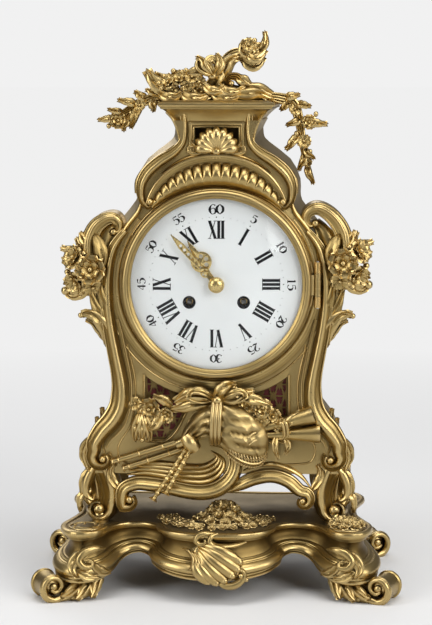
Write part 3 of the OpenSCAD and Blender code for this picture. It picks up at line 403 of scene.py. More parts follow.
class Finish(Enum):
    """The finishes of the clock."""

    GILT = Gilding("gilt_bronze", (0.45, 0.325, 0.125), (0.10, 0.058, 0.015), polish=0.30)
    SATIN = Gilding("satin_gilt", (0.43, 0.315, 0.13), (0.11, 0.066, 0.018), polish=0.35)
    GROUND = Gilding("stippled_gilt", (0.42, 0.305, 0.12), (0.11, 0.068, 0.018), polish=0.34, stipple=0.6)
    BEZEL = Gilding("bezel_gilt", (0.37, 0.265, 0.10), (0.14, 0.085, 0.024), polish=0.31, grain=0.015)
    DARK = Gilding("dark_gilt", (0.22, 0.16, 0.07), (0.05, 0.035, 0.015), polish=0.45)
    BRASS = Turned("polished_brass", (0.70, 0.48, 0.19), (0.45, 0.28, 0.09))
    HANDS = Gilding("gilt_hands", (0.74, 0.56, 0.24), (0.30, 0.18, 0.05), polish=0.24, grain=0.02)
    BELL = Turned("bell_metal", (0.66, 0.50, 0.27), (0.42, 0.30, 0.14), polish=0.2)
    STEEL = Turned("bright_steel", (0.56, 0.55, 0.53), (0.34, 0.32, 0.30))
    IRON = Turned("dark_steel", (0.20, 0.195, 0.19), (0.09, 0.085, 0.08), polish=0.35)
    BLUED = Turned("blued_steel", (0.07, 0.09, 0.16), (0.05, 0.05, 0.06), polish=0.3)
    WHITE = Enamel("white_enamel", (0.90, 0.915, 0.93), (0.87, 0.89, 0.91))
    # Matte near-black, used for the black rims of the winding holes and as painted shade inside them.
    JET = Enamel("hole_shade_black", (0.008, 0.008, 0.009), (0.012, 0.012, 0.013), gloss=0.6, coat=0.0, shine=0.05)
    INK = Enamel("black_enamel", (0.010, 0.010, 0.012), (0.014, 0.014, 0.016), gloss=0.4, coat=0.0,
                 shine=0.15)
    GLASS = Glass("dial_glass")
    SILK = Silk("red_silk", (0.17, 0.010, 0.008), (0.05, 0.003, 0.003))


class Cabinet:
    """The materials, each made once when it is first asked for."""

    def __init__(self) -> None:
        """Starts with none made."""
        self.made: Dict[Finish, bpy.types.Material] = {}

    def get(self, finish: Finish) -> bpy.types.Material:
        """Gives a finish's material.

        Args:
            finish: Which finish.

        Returns:
            Its material.
        """
        if finish not in self.made:
            self.made[finish] = finish.value.made()
        return self.made[finish]


CABINET = Cabinet()


# Paths and shapes


def eased(values: Values, share: np.ndarray) -> np.ndarray:
    """Reads a smooth curve through evenly spaced values.

    Args:
        values: The values, at even steps from 0 to 1.
        share: Where to read it, from 0 to 1.

    Returns:
        The curve's value at each place.
    """
    v = np.asarray(values, float)
    if v.shape[0] == 1:
        return np.repeat(v, len(share), axis=0)
    s = np.clip(share, 0, 1) * (len(v) - 1)
    i = np.minimum(s.astype(int), len(v) - 2)
    t = (s - i).reshape(-1, *[1] * (v.ndim - 1))
    a, b, c, d = v[np.maximum(i - 1, 0)], v[i], v[i + 1], v[np.minimum(i + 2, len(v) - 1)]
    return 0.5 * (2 * b + (c - a) * t + (2 * a - 5 * b + 4 * c - d) * t * t + (3 * b - a - 3 * c + d) * t**3)


@dataclass(frozen=True)
class Path:
    """A smooth line in space, in millimetres."""

    points: np.ndarray
    share: np.ndarray

    @classmethod
    def through(cls, controls: Line, y: float = 0.0, fine: int = 10) -> "Path":
        """Draws a smooth line through points.

        Args:
            controls: The points, as (x, z) at one depth or as (x, y, z).
            y: The depth of points given by x and z.
            fine: How many steps lie between two points.

        Returns:
            The line.
        """
        full = np.array([(c[0], y, c[1]) if len(c) == 2 else tuple(c) for c in controls], float)
        points = eased(full, np.linspace(0, 1, (len(full) - 1) * fine + 1))
        steps = np.linalg.norm(np.diff(points, axis=0), axis=1)
        length = np.concatenate([[0.0], np.cumsum(steps)])
        return cls(points, length / length[-1])

    def at(self, share: np.ndarray) -> Tuple[np.ndarray, np.ndarray]:
        """Gives places and directions on the line.

        Args:
            share: Shares of its length.

        Returns:
            The places and the unit directions there.
        """
        place = np.stack([np.interp(share, self.share, self.points[:, k]) for k in range(3)], axis=1)
        h = 0.004
        ahead = np.stack([np.interp(np.clip(share + h, 0, 1), self.share, self.points[:, k])
            for k in range(3)], 1)
        behind = np.stack([np.interp(np.clip(share - h, 0, 1), self.share, self.points[:, k])
            for k in range(3)], 1)
        way = ahead - behind
        return place, way / np.maximum(np.linalg.norm(way, axis=1, keepdims=True), 1e-9)


def volute(x: float, z: float, r0: float, r1: float, a0: float, a1: float, n: int = 12) -> List[Pair]:
    """Lists points on a spiral.

    Args:
        x: Its centre.
        z: Its centre.
        r0: Its radius at the start.
        r1: Its radius at the end.
        a0: Its direction at the start, in degrees from X towards Z.
        a1: Its direction at the end.
        n: How many steps it has.

    Returns:
        The points.
    """
    out = []
    for i in range(n + 1):
        t = i / n
        r, a = r0 + (r1 - r0) * t, math.radians(a0 + (a1 - a0) * t)
        out.append((x + r * math.cos(a), z + r * math.sin(a)))
    return out


@dataclass
class Shape:
    """Loose mesh data in millimetres, with the relief that its finish reads: the gilding paints shade where
    it is low.
    """

    points: np.ndarray
    faces: List[Tuple[int, ...]]
    relief: np.ndarray

    def bent(self, path: Path, width: Values, depth: Values, face: Values = (0, -1, 0),
             axle: Optional[Values] = None) -> "Shape":
        """Bends a straight blank along a path.

        Args:
            path: Where it runs.
            width: Its half width at even steps along the path.
            depth: Its height at even steps along the path.
            face: The direction that its height stands in.
            axle: The direction that its width lies in, in place of face.

        Returns:
            The bent shape.
        """
        t = self.points[:, 1]
        place, way = path.at(t)
        side = np.cross(way, np.broadcast_to(np.asarray(face, float), way.shape))
        if axle is not None:
            side = np.broadcast_to(np.asarray(axle, float), way.shape).copy()
        side /= np.maximum(np.linalg.norm(side, axis=1, keepdims=True), 1e-9)
        up = np.cross(side, way)
        x = self.points[:, 0:1] * eased(width, t)[:, None]
        z = self.points[:, 2:3] * eased(depth, t)[:, None]
        return Shape(place + side * x + up * z, self.faces, self.relief)

    def placed(self, at: Values, size: float | Values = 1.0, turn: Values = (0, 0, 0)) -> "Shape":
        """Copies the shape to a place.

        Args:
            at: Where its origin goes.
            size: How many times larger it becomes, or that along each axis.
            turn: Its turns about X, Y and Z in degrees, made in that order.

        Returns:
            The copy.
        """
        m = np.array(Matrix.Rotation(math.radians(turn[2]), 3, "Z")
                     @ Matrix.Rotation(math.radians(turn[1]), 3, "Y")
                     @ Matrix.Rotation(math.radians(turn[0]), 3, "X"))
        return Shape((self.points * np.asarray(size, float)) @ m.T + np.asarray(at, float), self.faces,
                     self.relief)

    def mirrored(self, axis: int = 0) -> "Shape":
        """Copies the shape to the other side of the middle: 0 swaps left and right, 1 front and back."""
        flip = np.ones(3)
        flip[axis] = -1
        return Shape(self.points * flip, [tuple(reversed(f)) for f in self.faces], self.relief)


class Bench:
    """Blender's modelling tools, used as by hand on one blank at a time."""

    @staticmethod
    def clear() -> None:
        """Deselects everything."""
        if bpy.context.object and bpy.context.object.mode != "OBJECT":
            bpy.ops.object.mode_set(mode="OBJECT")
        bpy.ops.object.select_all(action="DESELECT")

    @staticmethod
    def take(obj: bpy.types.Object, relief: Optional[Callable[[np.ndarray], np.ndarray]] = None) -> Shape:
        """Lifts the mesh off a finished blank and removes the blank.

        Args:
            obj: The blank.
            relief: Gives the relief from the points; its height does, where this is left out.

        Returns:
            The shape.
        """
        mesh = obj.data
        points = np.array([v.co for v in mesh.vertices], float)
        faces = [tuple(p.vertices) for p in mesh.polygons]
        if relief is None:
            # Painted shade: by default the relief follows the height, so the gilding darkens the lowest parts
            # of a blank.
            z = points[:, 2]
            share = (z - z.min()) / max(z.max() - z.min(), 1e-9)
        else:
            share = relief(points)
        bpy.data.objects.remove(obj)
        return Shape(points, faces, share)

    @staticmethod
    def apply(obj: bpy.types.Object, kind: str, **settings: object) -> None:
        """Adds a modifier and applies it.

        Args:
            obj: The object.
            kind: The modifier's type.
            settings: The modifier's settings.
        """
        Bench.clear()
        obj.select_set(True)
        bpy.context.view_layer.objects.active = obj
        made = obj.modifiers.new(kind.lower(), kind)
        for key, value in settings.items():
            setattr(made, key, value)
        bpy.ops.object.modifier_apply(modifier=made.name)

    @staticmethod
    def bead(detail: int = 2) -> Shape:
        """Makes a ball of radius one.

        Args:
            detail: How finely it is divided.

        Returns:
            The blank.
        """
        Bench.clear()
        bpy.ops.mesh.primitive_ico_sphere_add(subdivisions=detail, radius=1.0)
        return Bench.take(bpy.context.object, lambda p: np.full(len(p), 0.8))

    @staticmethod
    def sheet(across: int, along: int,
              form: Callable[[np.ndarray, np.ndarray], Tuple[np.ndarray, np.ndarray]], thick: float,
              relief: Optional[Callable[[np.ndarray], np.ndarray]] = None) -> Shape:
        """Beats a thin sheet over a form.

        Args:
            across: How many pieces its width has.
            along: How many pieces its length has.
            form: Gives half width and height from places across, -1 to 1, and along, 0 to 1.
            thick: Its thickness, as a share of its height.
            relief: Gives the relief from the points.

        Returns:
            The closed blank, one long.
        """
        Bench.clear()
        bpy.ops.mesh.primitive_grid_add(x_subdivisions=across, y_subdivisions=along, size=2.0)
        obj = bpy.context.object
        flat = np.array([v.co for v in obj.data.vertices], float)
        u, t = flat[:, 0], (flat[:, 1] + 1) / 2
        wide, high = form(u, t)
        for v, x, y, z in zip(obj.data.vertices, u * wide, t, high):
            v.co = (x, y, z)
        Bench.apply(obj, "SOLIDIFY", thickness=thick, offset=-1.0)
        return Bench.take(obj, relief)


class Casting:
    """Shapes gathered into one cast piece."""

    def __init__(self) -> None:
        """Starts empty."""
        self.shapes: List[Shape] = []

    def add(self, *shapes: Shape) -> "Casting":
        """Adds shapes, and returns the casting itself."""
        self.shapes.extend(shapes)
        return self

    def both(self, *shapes: Shape) -> "Casting":
        """Adds shapes and their mirror images, and returns the casting itself."""
        return self.add(*shapes, *[s.mirrored() for s in shapes])

    def spray(self, leaves: "Sequence[Tuple[Line, float, float]]", face: Values = (0, -1, 0), lobes: int = 3,
              y: float = FRONT) -> "Casting":
        """Adds leaves, each given by its midrib, half width and depth, and returns the casting itself."""
        return self.add(*[FOUNDRY.leaf(path, w, d, y, face, lobes) for path, w, d in leaves])

    def posy(self, flowers: "Sequence[Values]", full: float) -> "Casting":
        """Adds flowers.

        Args:
            flowers: The place, the radius, the looks up and to the right and the spin of each flower.
            full: Flowers with a larger radius have an inner ring of petals.

        Returns:
            The casting itself.
        """
        for x, y, z, r, up, side, spin in flowers:
            self.add(FOUNDRY.flower((x, y, z), r, up, side, spin, r > full))
        return self

    def build(self, name: str, *replaces: str, finish: Finish = Finish.GILT, body: str = "clock",
              slot: str = "gilt_bronze", angle: float = 40.0, merge: float = WELD) -> bpy.types.Object:
        """Makes the object, dresses it and lets it ride on its body.

        Args:
            name: The piece's name.
            replaces: The CAD nodes that it stands for.
            finish: Its finish.
            body: The body that it moves with.
            slot: Handed on to Wardrobe.dress.
            angle: Edges sharper than this stay sharp, in degrees.
            merge: Points closer than this become one, in millimetres.

        Returns:
            The piece.
        """
        points, faces, relief, start = [], [], [], 0
        for s in self.shapes:
            points.append(s.points)
            relief.append(s.relief)
            faces += [tuple(i + start for i in f) for f in s.faces]
            start += len(s.points)
        mesh = bpy.data.meshes.new(name)
        mesh.from_pydata([tuple(p) for p in np.concatenate(points) * MM], [], faces)
        layer = mesh.attributes.new("relief", "FLOAT", "POINT")
        layer.data.foreach_set("value", np.concatenate(relief).astype(np.float32))
        obj = bpy.data.objects.new(name, mesh)
        bpy.context.scene.collection.objects.link(obj)
        return Wardrobe.dress(obj, *replaces, finish=finish, body=body, slot=slot, angle=angle, merge=merge)


class Wardrobe:
    """Puts finishes on pieces and carried-over nodes."""

    @staticmethod
    def dress(obj: bpy.types.Object, *replaces: str, finish: Finish, body: str = "clock",
              slot: str = "gilt_bronze", angle: float = 40.0, merge: float = 0.0) -> bpy.types.Object:
        """Finishes a new piece.

        Args:
            obj: The piece.
            replaces: The CAD nodes that it stands for.
            finish: Its finish.
            body: The body that it moves with.
            slot: Not used.
            angle: Edges sharper than this stay sharp, in degrees.
            merge: Points closer than this become one, in millimetres.

        Returns:
            The piece.
        """
        Bench.clear()
        obj.select_set(True)
        bpy.context.view_layer.objects.active = obj
        if merge:
            bpy.ops.object.mode_set(mode="EDIT")
            bpy.ops.mesh.select_all(action="SELECT")
            bpy.ops.mesh.remove_doubles(threshold=merge * MM)
            bpy.ops.mesh.normals_make_consistent(inside=False)
            bpy.ops.object.mode_set(mode="OBJECT")
        bpy.ops.object.shade_smooth_by_angle(angle=math.radians(angle))
        obj.data.materials.clear()
        obj.data.materials.append(CABINET.get(finish))
        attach(obj, body)
        if replaces:
            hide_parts(*replaces)
        log.info("%s: %d faces", obj.name, len(obj.data.polygons))
        return obj

    @staticmethod
    def keep(nodes: Iterable[str], finish: Finish) -> None:
        """Gives carried-over CAD nodes a finish.

        Args:
            nodes: The nodes' names.
            finish: The finish.
        """
        for name in nodes:
            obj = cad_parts[name]
            obj.data.materials.clear()
            obj.data.materials.append(CABINET.get(finish))
            log.info("%s: kept", name)

    @staticmethod
    def copy(node: str, bevel: float = 0.0) -> bpy.types.Object:
        """Copies a CAD node's mesh, merged, with its edges eased.

        Args:
            node: The node's name.
            bevel: The width of the eased edges in millimetres.

        Returns:
            The copy.
        """
        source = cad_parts[node]
        obj = bpy.data.objects.new(node + "_piece", source.data.copy())
        bpy.context.scene.collection.objects.link(obj)
        Bench.clear()
        obj.select_set(True)
        bpy.context.view_layer.objects.active = obj
        bpy.ops.object.mode_set(mode="EDIT")
        bpy.ops.mesh.select_all(action="SELECT")
        bpy.ops.mesh.remove_doubles(threshold=0.00001)
        bpy.ops.mesh.dissolve_limited(angle_limit=math.radians(0.5))
        bpy.ops.object.mode_set(mode="OBJECT")
        layer = obj.data.attributes.new("relief", "FLOAT", "POINT")
        layer.data.foreach_set("value", np.full(len(obj.data.vertices), EVEN, np.float32))
        if bevel:
            Bench.apply(obj, "BEVEL", width=bevel * MM, segments=2, limit_method="ANGLE",
                        angle_limit=math.radians(40))
        return obj


# Ornament


def even_section(*right: Pair) -> Tuple[Pair, ...]:
    """Completes a section that is alike on both sides from its right half, which starts at the middle."""
    return (*[(-x, z) for x, z in right[:0:-1]], *right)


class Moulding(Enum):
    """Sections of the cast mouldings: across from -1 to 1, and height from 0 to 1."""

    ROUND = even_section((0, 1), (0.5, 0.87), (0.8, 0.62), (0.97, 0.3), (1, 0))
    BAND = even_section((0, 1), (0.35, 0.96), (0.62, 0.84), (0.76, 0.66), (0.8, 0.5), (0.93, 0.5), (1, 0.36),
        (1, 0))
    SCROLL = ((-1, 0), (-1, 0.5), (-0.92, 0.78), (-0.72, 0.97), (-0.5, 0.98), (-0.34, 0.84), (-0.22, 0.62),
              (0, 0.5), (0.25, 0.5), (0.42, 0.6), (0.5, 0.8), (0.66, 0.9), (0.84, 0.82), (0.96, 0.56),
              (1, 0.3), (1, 0))
    RIBS = ((-1, 0), (-1, 0.5), (-0.9, 0.84), (-0.72, 0.95), (-0.56, 0.8), (-0.5, 0.6), (-0.42, 0.82),
            (-0.25, 1), (-0.08, 0.84), (0, 0.6), (0.08, 0.82), (0.25, 0.96), (0.42, 0.78), (0.5, 0.55),
            (0.57, 0.72), (0.73, 0.84), (0.9, 0.7), (1, 0.4), (1, 0))
    STEPS = ((-1, 0), (-1, 0.7), (-0.85, 0.95), (-0.6, 1), (-0.38, 0.9), (-0.3, 0.66), (0.05, 0.62),
             (0.1, 0.42), (0.5, 0.36), (0.55, 0.22), (0.95, 0.18), (1, 0))
    WAVE = ((-1, 0), (-1, 0.5), (-0.94, 0.66), (-0.84, 0.7), (-0.76, 0.6), (-0.62, 0.55), (-0.44, 0.6),
            (-0.26, 0.76), (-0.06, 0.93), (0.16, 1), (0.4, 0.98), (0.6, 0.86), (0.73, 0.68), (0.78, 0.52),
            (0.88, 0.46), (1, 0.28), (1, 0))
    RIM = even_section((0, 0.5), (0.4, 0.52), (0.68, 0.62), (0.74, 0.9), (0.84, 1), (0.94, 0.9), (1, 0.55),
        (1, 0))
    FLAT = ((-1, 0), (-1, 1), (1, 1), (1, 0))
    ROD = tuple((math.cos(math.tau * k / 12), -math.sin(math.tau * k / 12)) for k in range(12))
    EGG = tuple((math.cos(math.tau * k / 52), -math.sin(math.tau * k / 52)) for k in range(52))


class Foundry:
    """Models each blank of the ornament once, and casts bent and placed copies of it."""

    def __init__(self) -> None:
        """Starts with an empty shelf of blanks."""
        self.shelf: Dict[object, Shape] = {}

    def blank(self, key: object, make: Callable[[], Shape]) -> Shape:
        """Takes a blank from the shelf, or makes it.

        Args:
            key: What it is called.
            make: Makes it.

        Returns:
            The blank.
        """
        if key not in self.shelf:
            self.shelf[key] = make()
        return self.shelf[key]

    def tube(self, around: int, along: int) -> Shape:
        """Draws a plain closed tube, with a point for each place around and along.

        Args:
            around: How many points its section has.
            along: How many steps its length has.

        Returns:
            The tube: its points in order around, ring by ring.
        """
        def make() -> Shape:
            Bench.clear()
            bpy.ops.mesh.primitive_circle_add(vertices=around, radius=1.0, fill_type="NOTHING")
            obj = bpy.context.object
            bpy.ops.object.mode_set(mode="EDIT")
            bpy.ops.mesh.select_all(action="SELECT")
            bpy.ops.mesh.edge_face_add()
            for _ in range(along):
                bpy.ops.mesh.extrude_region_move(TRANSFORM_OT_translate={"value": (0.0, 0.0, 1.0)})
            bpy.ops.mesh.select_all(action="SELECT")
            bpy.ops.mesh.normals_make_consistent(inside=False)
            bpy.ops.object.mode_set(mode="OBJECT")
            raw = Bench.take(obj)
            angle = np.arctan2(raw.points[:, 1], raw.points[:, 0]) / math.tau * around
            spot = (np.floor(angle + 0.01).astype(int) % around) + around * np.round(
                raw.points[:, 2]).astype(int)
            points = np.zeros_like(raw.points)
            points[spot] = raw.points
            return Shape(points, [tuple(int(spot[i]) for i in f) for f in raw.faces], np.zeros(len(points)))

        return self.blank(("tube", around, along), make)

    def drawn(self, rings: Sequence[np.ndarray], relief: Optional[Values] = None, capped: bool = True,
              looped: bool = False) -> Shape:
        """Draws a wall through rings of points, each anticlockwise seen against the direction of advance.

        Args:
            rings: The rings, all with as many points.
            relief: The relief of each ring.
            capped: Whether its ends are closed.
            looped: Whether its last ring joins its first.

        Returns:
            The wall.
        """
        n, m = len(rings[0]), len(rings)
        tube = self.tube(n, m - 1)
        faces = [f for f in tube.faces if len(f) == 4 or (capped and not looped)]
        if looped:
            faces += [((m - 1) * n + k, (m - 1) * n + (k + 1) % n, (k + 1) % n, k) for k in range(n)]
        share = np.full(m, EVEN) if relief is None else np.asarray(relief, float)
        return Shape(np.concatenate([np.asarray(r, float) for r in rings]), faces, np.repeat(share, n))

    def bar(self, kind: Moulding, controls: Line, width: Values, depth: Values,
            y: float = FRONT, face: Values = (0, -1, 0), steps: int = 44,
            axle: Optional[Values] = None) -> Shape:
        """Bends a moulding along a path.

        Args:
            kind: Its section.
            controls: Points of the path.
            width: Its half widths along the path.
            depth: Its heights along the path.
            y: The depth of a path given by x and z.
            face: The direction that it stands up in.
            steps: How many pieces its length has.
            axle: The direction that its width lies in, in place of face.

        Returns:
            The moulding.
        """
        section = kind.value

        def make() -> Shape:
            rings = [np.array([(x, i / steps, z) for x, z in section]) for i in range(steps + 1)]
            made = self.drawn(rings)
            high = made.points[:, 2]
            # Painted shade: the relief follows the section's height, so the gilding darkens the foot of each
            # moulding.
            made.relief = np.full(len(high), EVEN) if kind in (Moulding.ROD, Moulding.EGG) else high.copy()
            return made

        blank = self.blank((kind, steps), make)
        return blank.bent(Path.through(controls, y), width, depth, face, axle)

    def rod(self, controls: Line, radius: Values, y: float = FRONT, steps: int = 24) -> Shape:
        """Bends a round rod, with radii along it, on a path."""
        return self.bar(Moulding.ROD, controls, radius, radius, y, (0.13, -1, 0.07), steps)

    def leaf(self, controls: Line, width: float, depth: float = 2.4, y: float = FRONT,
             face: Values = (0, -1, 0), lobes: int = 4) -> Shape:
        """Bends a chased leaf with lobes along a path.

        Args:
            controls: Points of its midrib.
            width: Its half width.
            depth: How far its lobes stand up.
            y: The depth of a path given by x and z.
            face: The direction that its front looks in.
            lobes: How many lobes each side has.

        Returns:
            The leaf.
        """
        def form(u: np.ndarray, t: np.ndarray) -> Tuple[np.ndarray, np.ndarray]:
            swing = np.sin(math.pi * np.clip(t * 0.97 + 0.02, 0, 1) ** 0.8)
            scallop = np.abs(np.sin(math.pi * lobes * np.clip(t, 0, 1)))
            wide = swing**0.85 * (0.93 + 0.1 * scallop) + 0.02
            side = np.abs(u)
            high = 0.25 + 0.75 * np.sin(math.pi * np.clip(side * 0.86 + 0.04, 0, 1)) ** 1.2
            high = high * (0.9 + 0.12 * scallop * side) + 0.34 * np.exp(-((u / 0.16) ** 2)) * (1 - t)
            return wide, high

        blank = self.blank(("leaf", lobes), lambda: Bench.sheet(8, 6 * lobes, form, 0.55))
        return blank.bent(Path.through(controls, y, 8), (width,), (depth,), face)

    def petals(self, count: int, cup: float, slim: float) -> Shape:
        """Models one ring of petals, radius one, that faces up.

        Args:
            count: How many petals it has.
            cup: How far the petals rise.
            slim: The half width of a petal.

        Returns:
            The ring.
        """
        def form(u: np.ndarray, t: np.ndarray) -> Tuple[np.ndarray, np.ndarray]:
            wide = slim * (0.25 + 0.95 * np.sin(math.pi * np.clip(t, 0, 1) ** 1.5 * 0.82))
            high = cup * t**1.6 - 0.22 * t**6 + 0.16 * u**2 * t + 0.05 * np.cos(2 * math.pi * u) * t
            return wide, high

        def make() -> Shape:
            # Painted shade: the relief rises from the heart to the tips, so the gilding darkens each petal
            # towards the heart.
            one = Bench.sheet(5, 6, form, 0.09, lambda p: np.clip(0.15 + 0.85 * p[:, 1], 0, 1))
            turned = [one.placed((0, 0, 0), 1.0, (0, 0, 360 * k / count)) for k in range(count)]
            return gathered(turned)

        return self.blank(("petals", count, cup, slim), make)

    def flower(self, at: Values, r: float, up: float = 0.0, side: float = 0.0, spin: float = 0.0,
               double: bool = True) -> Shape:
        """Places a flower with cupped petals.

        Args:
            at: Its centre.
            r: Its radius.
            up: How far it looks up, in degrees.
            side: How far it looks to the right, in degrees.
            spin: Its turn in its own plane.
            double: Whether it has an inner ring of petals.

        Returns:
            The flower.
        """
        def make() -> Shape:
            parts = [self.petals(6, 0.36, 0.36)]
            if double:
                parts.append(self.petals(5, 0.6, 0.36).placed((0, 0, 0.1), (0.6, 0.6, 0.75), (0, 0, 36)))
            parts.append(self.ball((0, 0, 0.2), 0.2))
            return gathered(parts)

        blank = self.blank(("flower", double), make).placed((0, 0, 0), 1.0, (0, 0, spin))
        return blank.placed(at, r, (90.0 - up, 0.0, side))

    def ball(self, at: Values, r: "float | Values", detail: int = 2) -> Shape:
        """Places a ball, or a spheroid where r has a radius for each axis."""
        return self.blank(("bead", detail), lambda: Bench.bead(detail)).placed(at, r)

    def beads(self, controls: Line, r: float, count: int, y: float = FRONT) -> Shape:
        """Strings a count of beads of radius r along a path."""
        places, _ = Path.through(controls, y).at(np.linspace(0, 1, count))
        return gathered([self.ball(p, r, 1) for p in places])

    def scallop(self, at: Values, r: float, rise: float, ribs: int = 9, spread: float = 82.0,
                turn: float = 0.0, reach: Values = (1.0,)) -> Shape:
        """Places a scallop shell of rounded ribs that fans out from its hinge.

        Args:
            at: Its hinge.
            r: The length of its middle rib.
            rise: How far it stands out.
            ribs: How many ribs it has.
            spread: The direction of its outermost rib, in degrees from upright.
            turn: The direction of its middle rib, in degrees from upright to the right.
            reach: The lengths of its ribs from left to right, as shares of r.

        Returns:
            The shell.
        """
        out = []
        for k in range(ribs):
            s = 2 * k / (ribs - 1) - 1
            a = math.radians(turn + s * spread)
            far = r * float(eased(reach, np.array([(s + 1) / 2]))[0]) * (1 - 0.1 * s * s)
            way = np.array((math.sin(a), 0.0, math.cos(a)))
            path = [np.asarray(at, float) + way * far * q + np.array((0, -rise * h, 0))
                    for q, h in ((0.04, 0.1), (0.3, 0.62), (0.6, 0.85), (0.86, 0.72), (1.0, 0.3))]
            half = r * math.sin(math.radians(spread) / ribs) * 1.12
            out.append(self.bar(Moulding.ROUND, path, (0.25 * half, 0.5 * half, 0.85 * half, 1.05 * half,
                0.55 * half), (0.3 * rise, 0.34 * rise, 0.36 * rise, 0.36 * rise, 0.2 * rise), steps=12))
        return gathered(out)


def gathered(shapes: Sequence[Shape]) -> Shape:
    """Joins shapes into one.

    Args:
        shapes: The shapes.

    Returns:
        The joined shape.
    """
    faces, start = [], 0
    for s in shapes:
        faces += [tuple(i + start for i in f) for f in s.faces]
        start += len(s.points)
    return Shape(np.concatenate([s.points for s in shapes]), faces,
                 np.concatenate([s.relief for s in shapes]))


def outward(outline: np.ndarray) -> np.ndarray:
    """Gives the outward direction at each point of an anticlockwise outline.

    Args:
        outline: Its points in a plane.

    Returns:
        Unit vectors in that plane.
    """
    way = np.roll(outline, -1, axis=0) - np.roll(outline, 1, axis=0)
    way /= np.maximum(np.linalg.norm(way, axis=1, keepdims=True), 1e-9)
    return np.stack([way[:, 1], -way[:, 0]], axis=1)


def cast_corners(kind: str, front: Shape, rear: Shape) -> None:
    """Casts a foot or a leg for each corner of the clock, each with its own mesh.

    Args:
        kind: What it is, as the nodes' names start.
        front: The right front one.
        rear: The right rear one.
    """
    for end, right in (("front", front), ("rear", rear)):
        for side, made in (("right", right), ("left", right.mirrored())):
            name = f"{kind}_{end}_{side}"
            Casting().add(made).build(name + "_scroll", name)


FOUNDRY = Foundry()


# The clock's parts


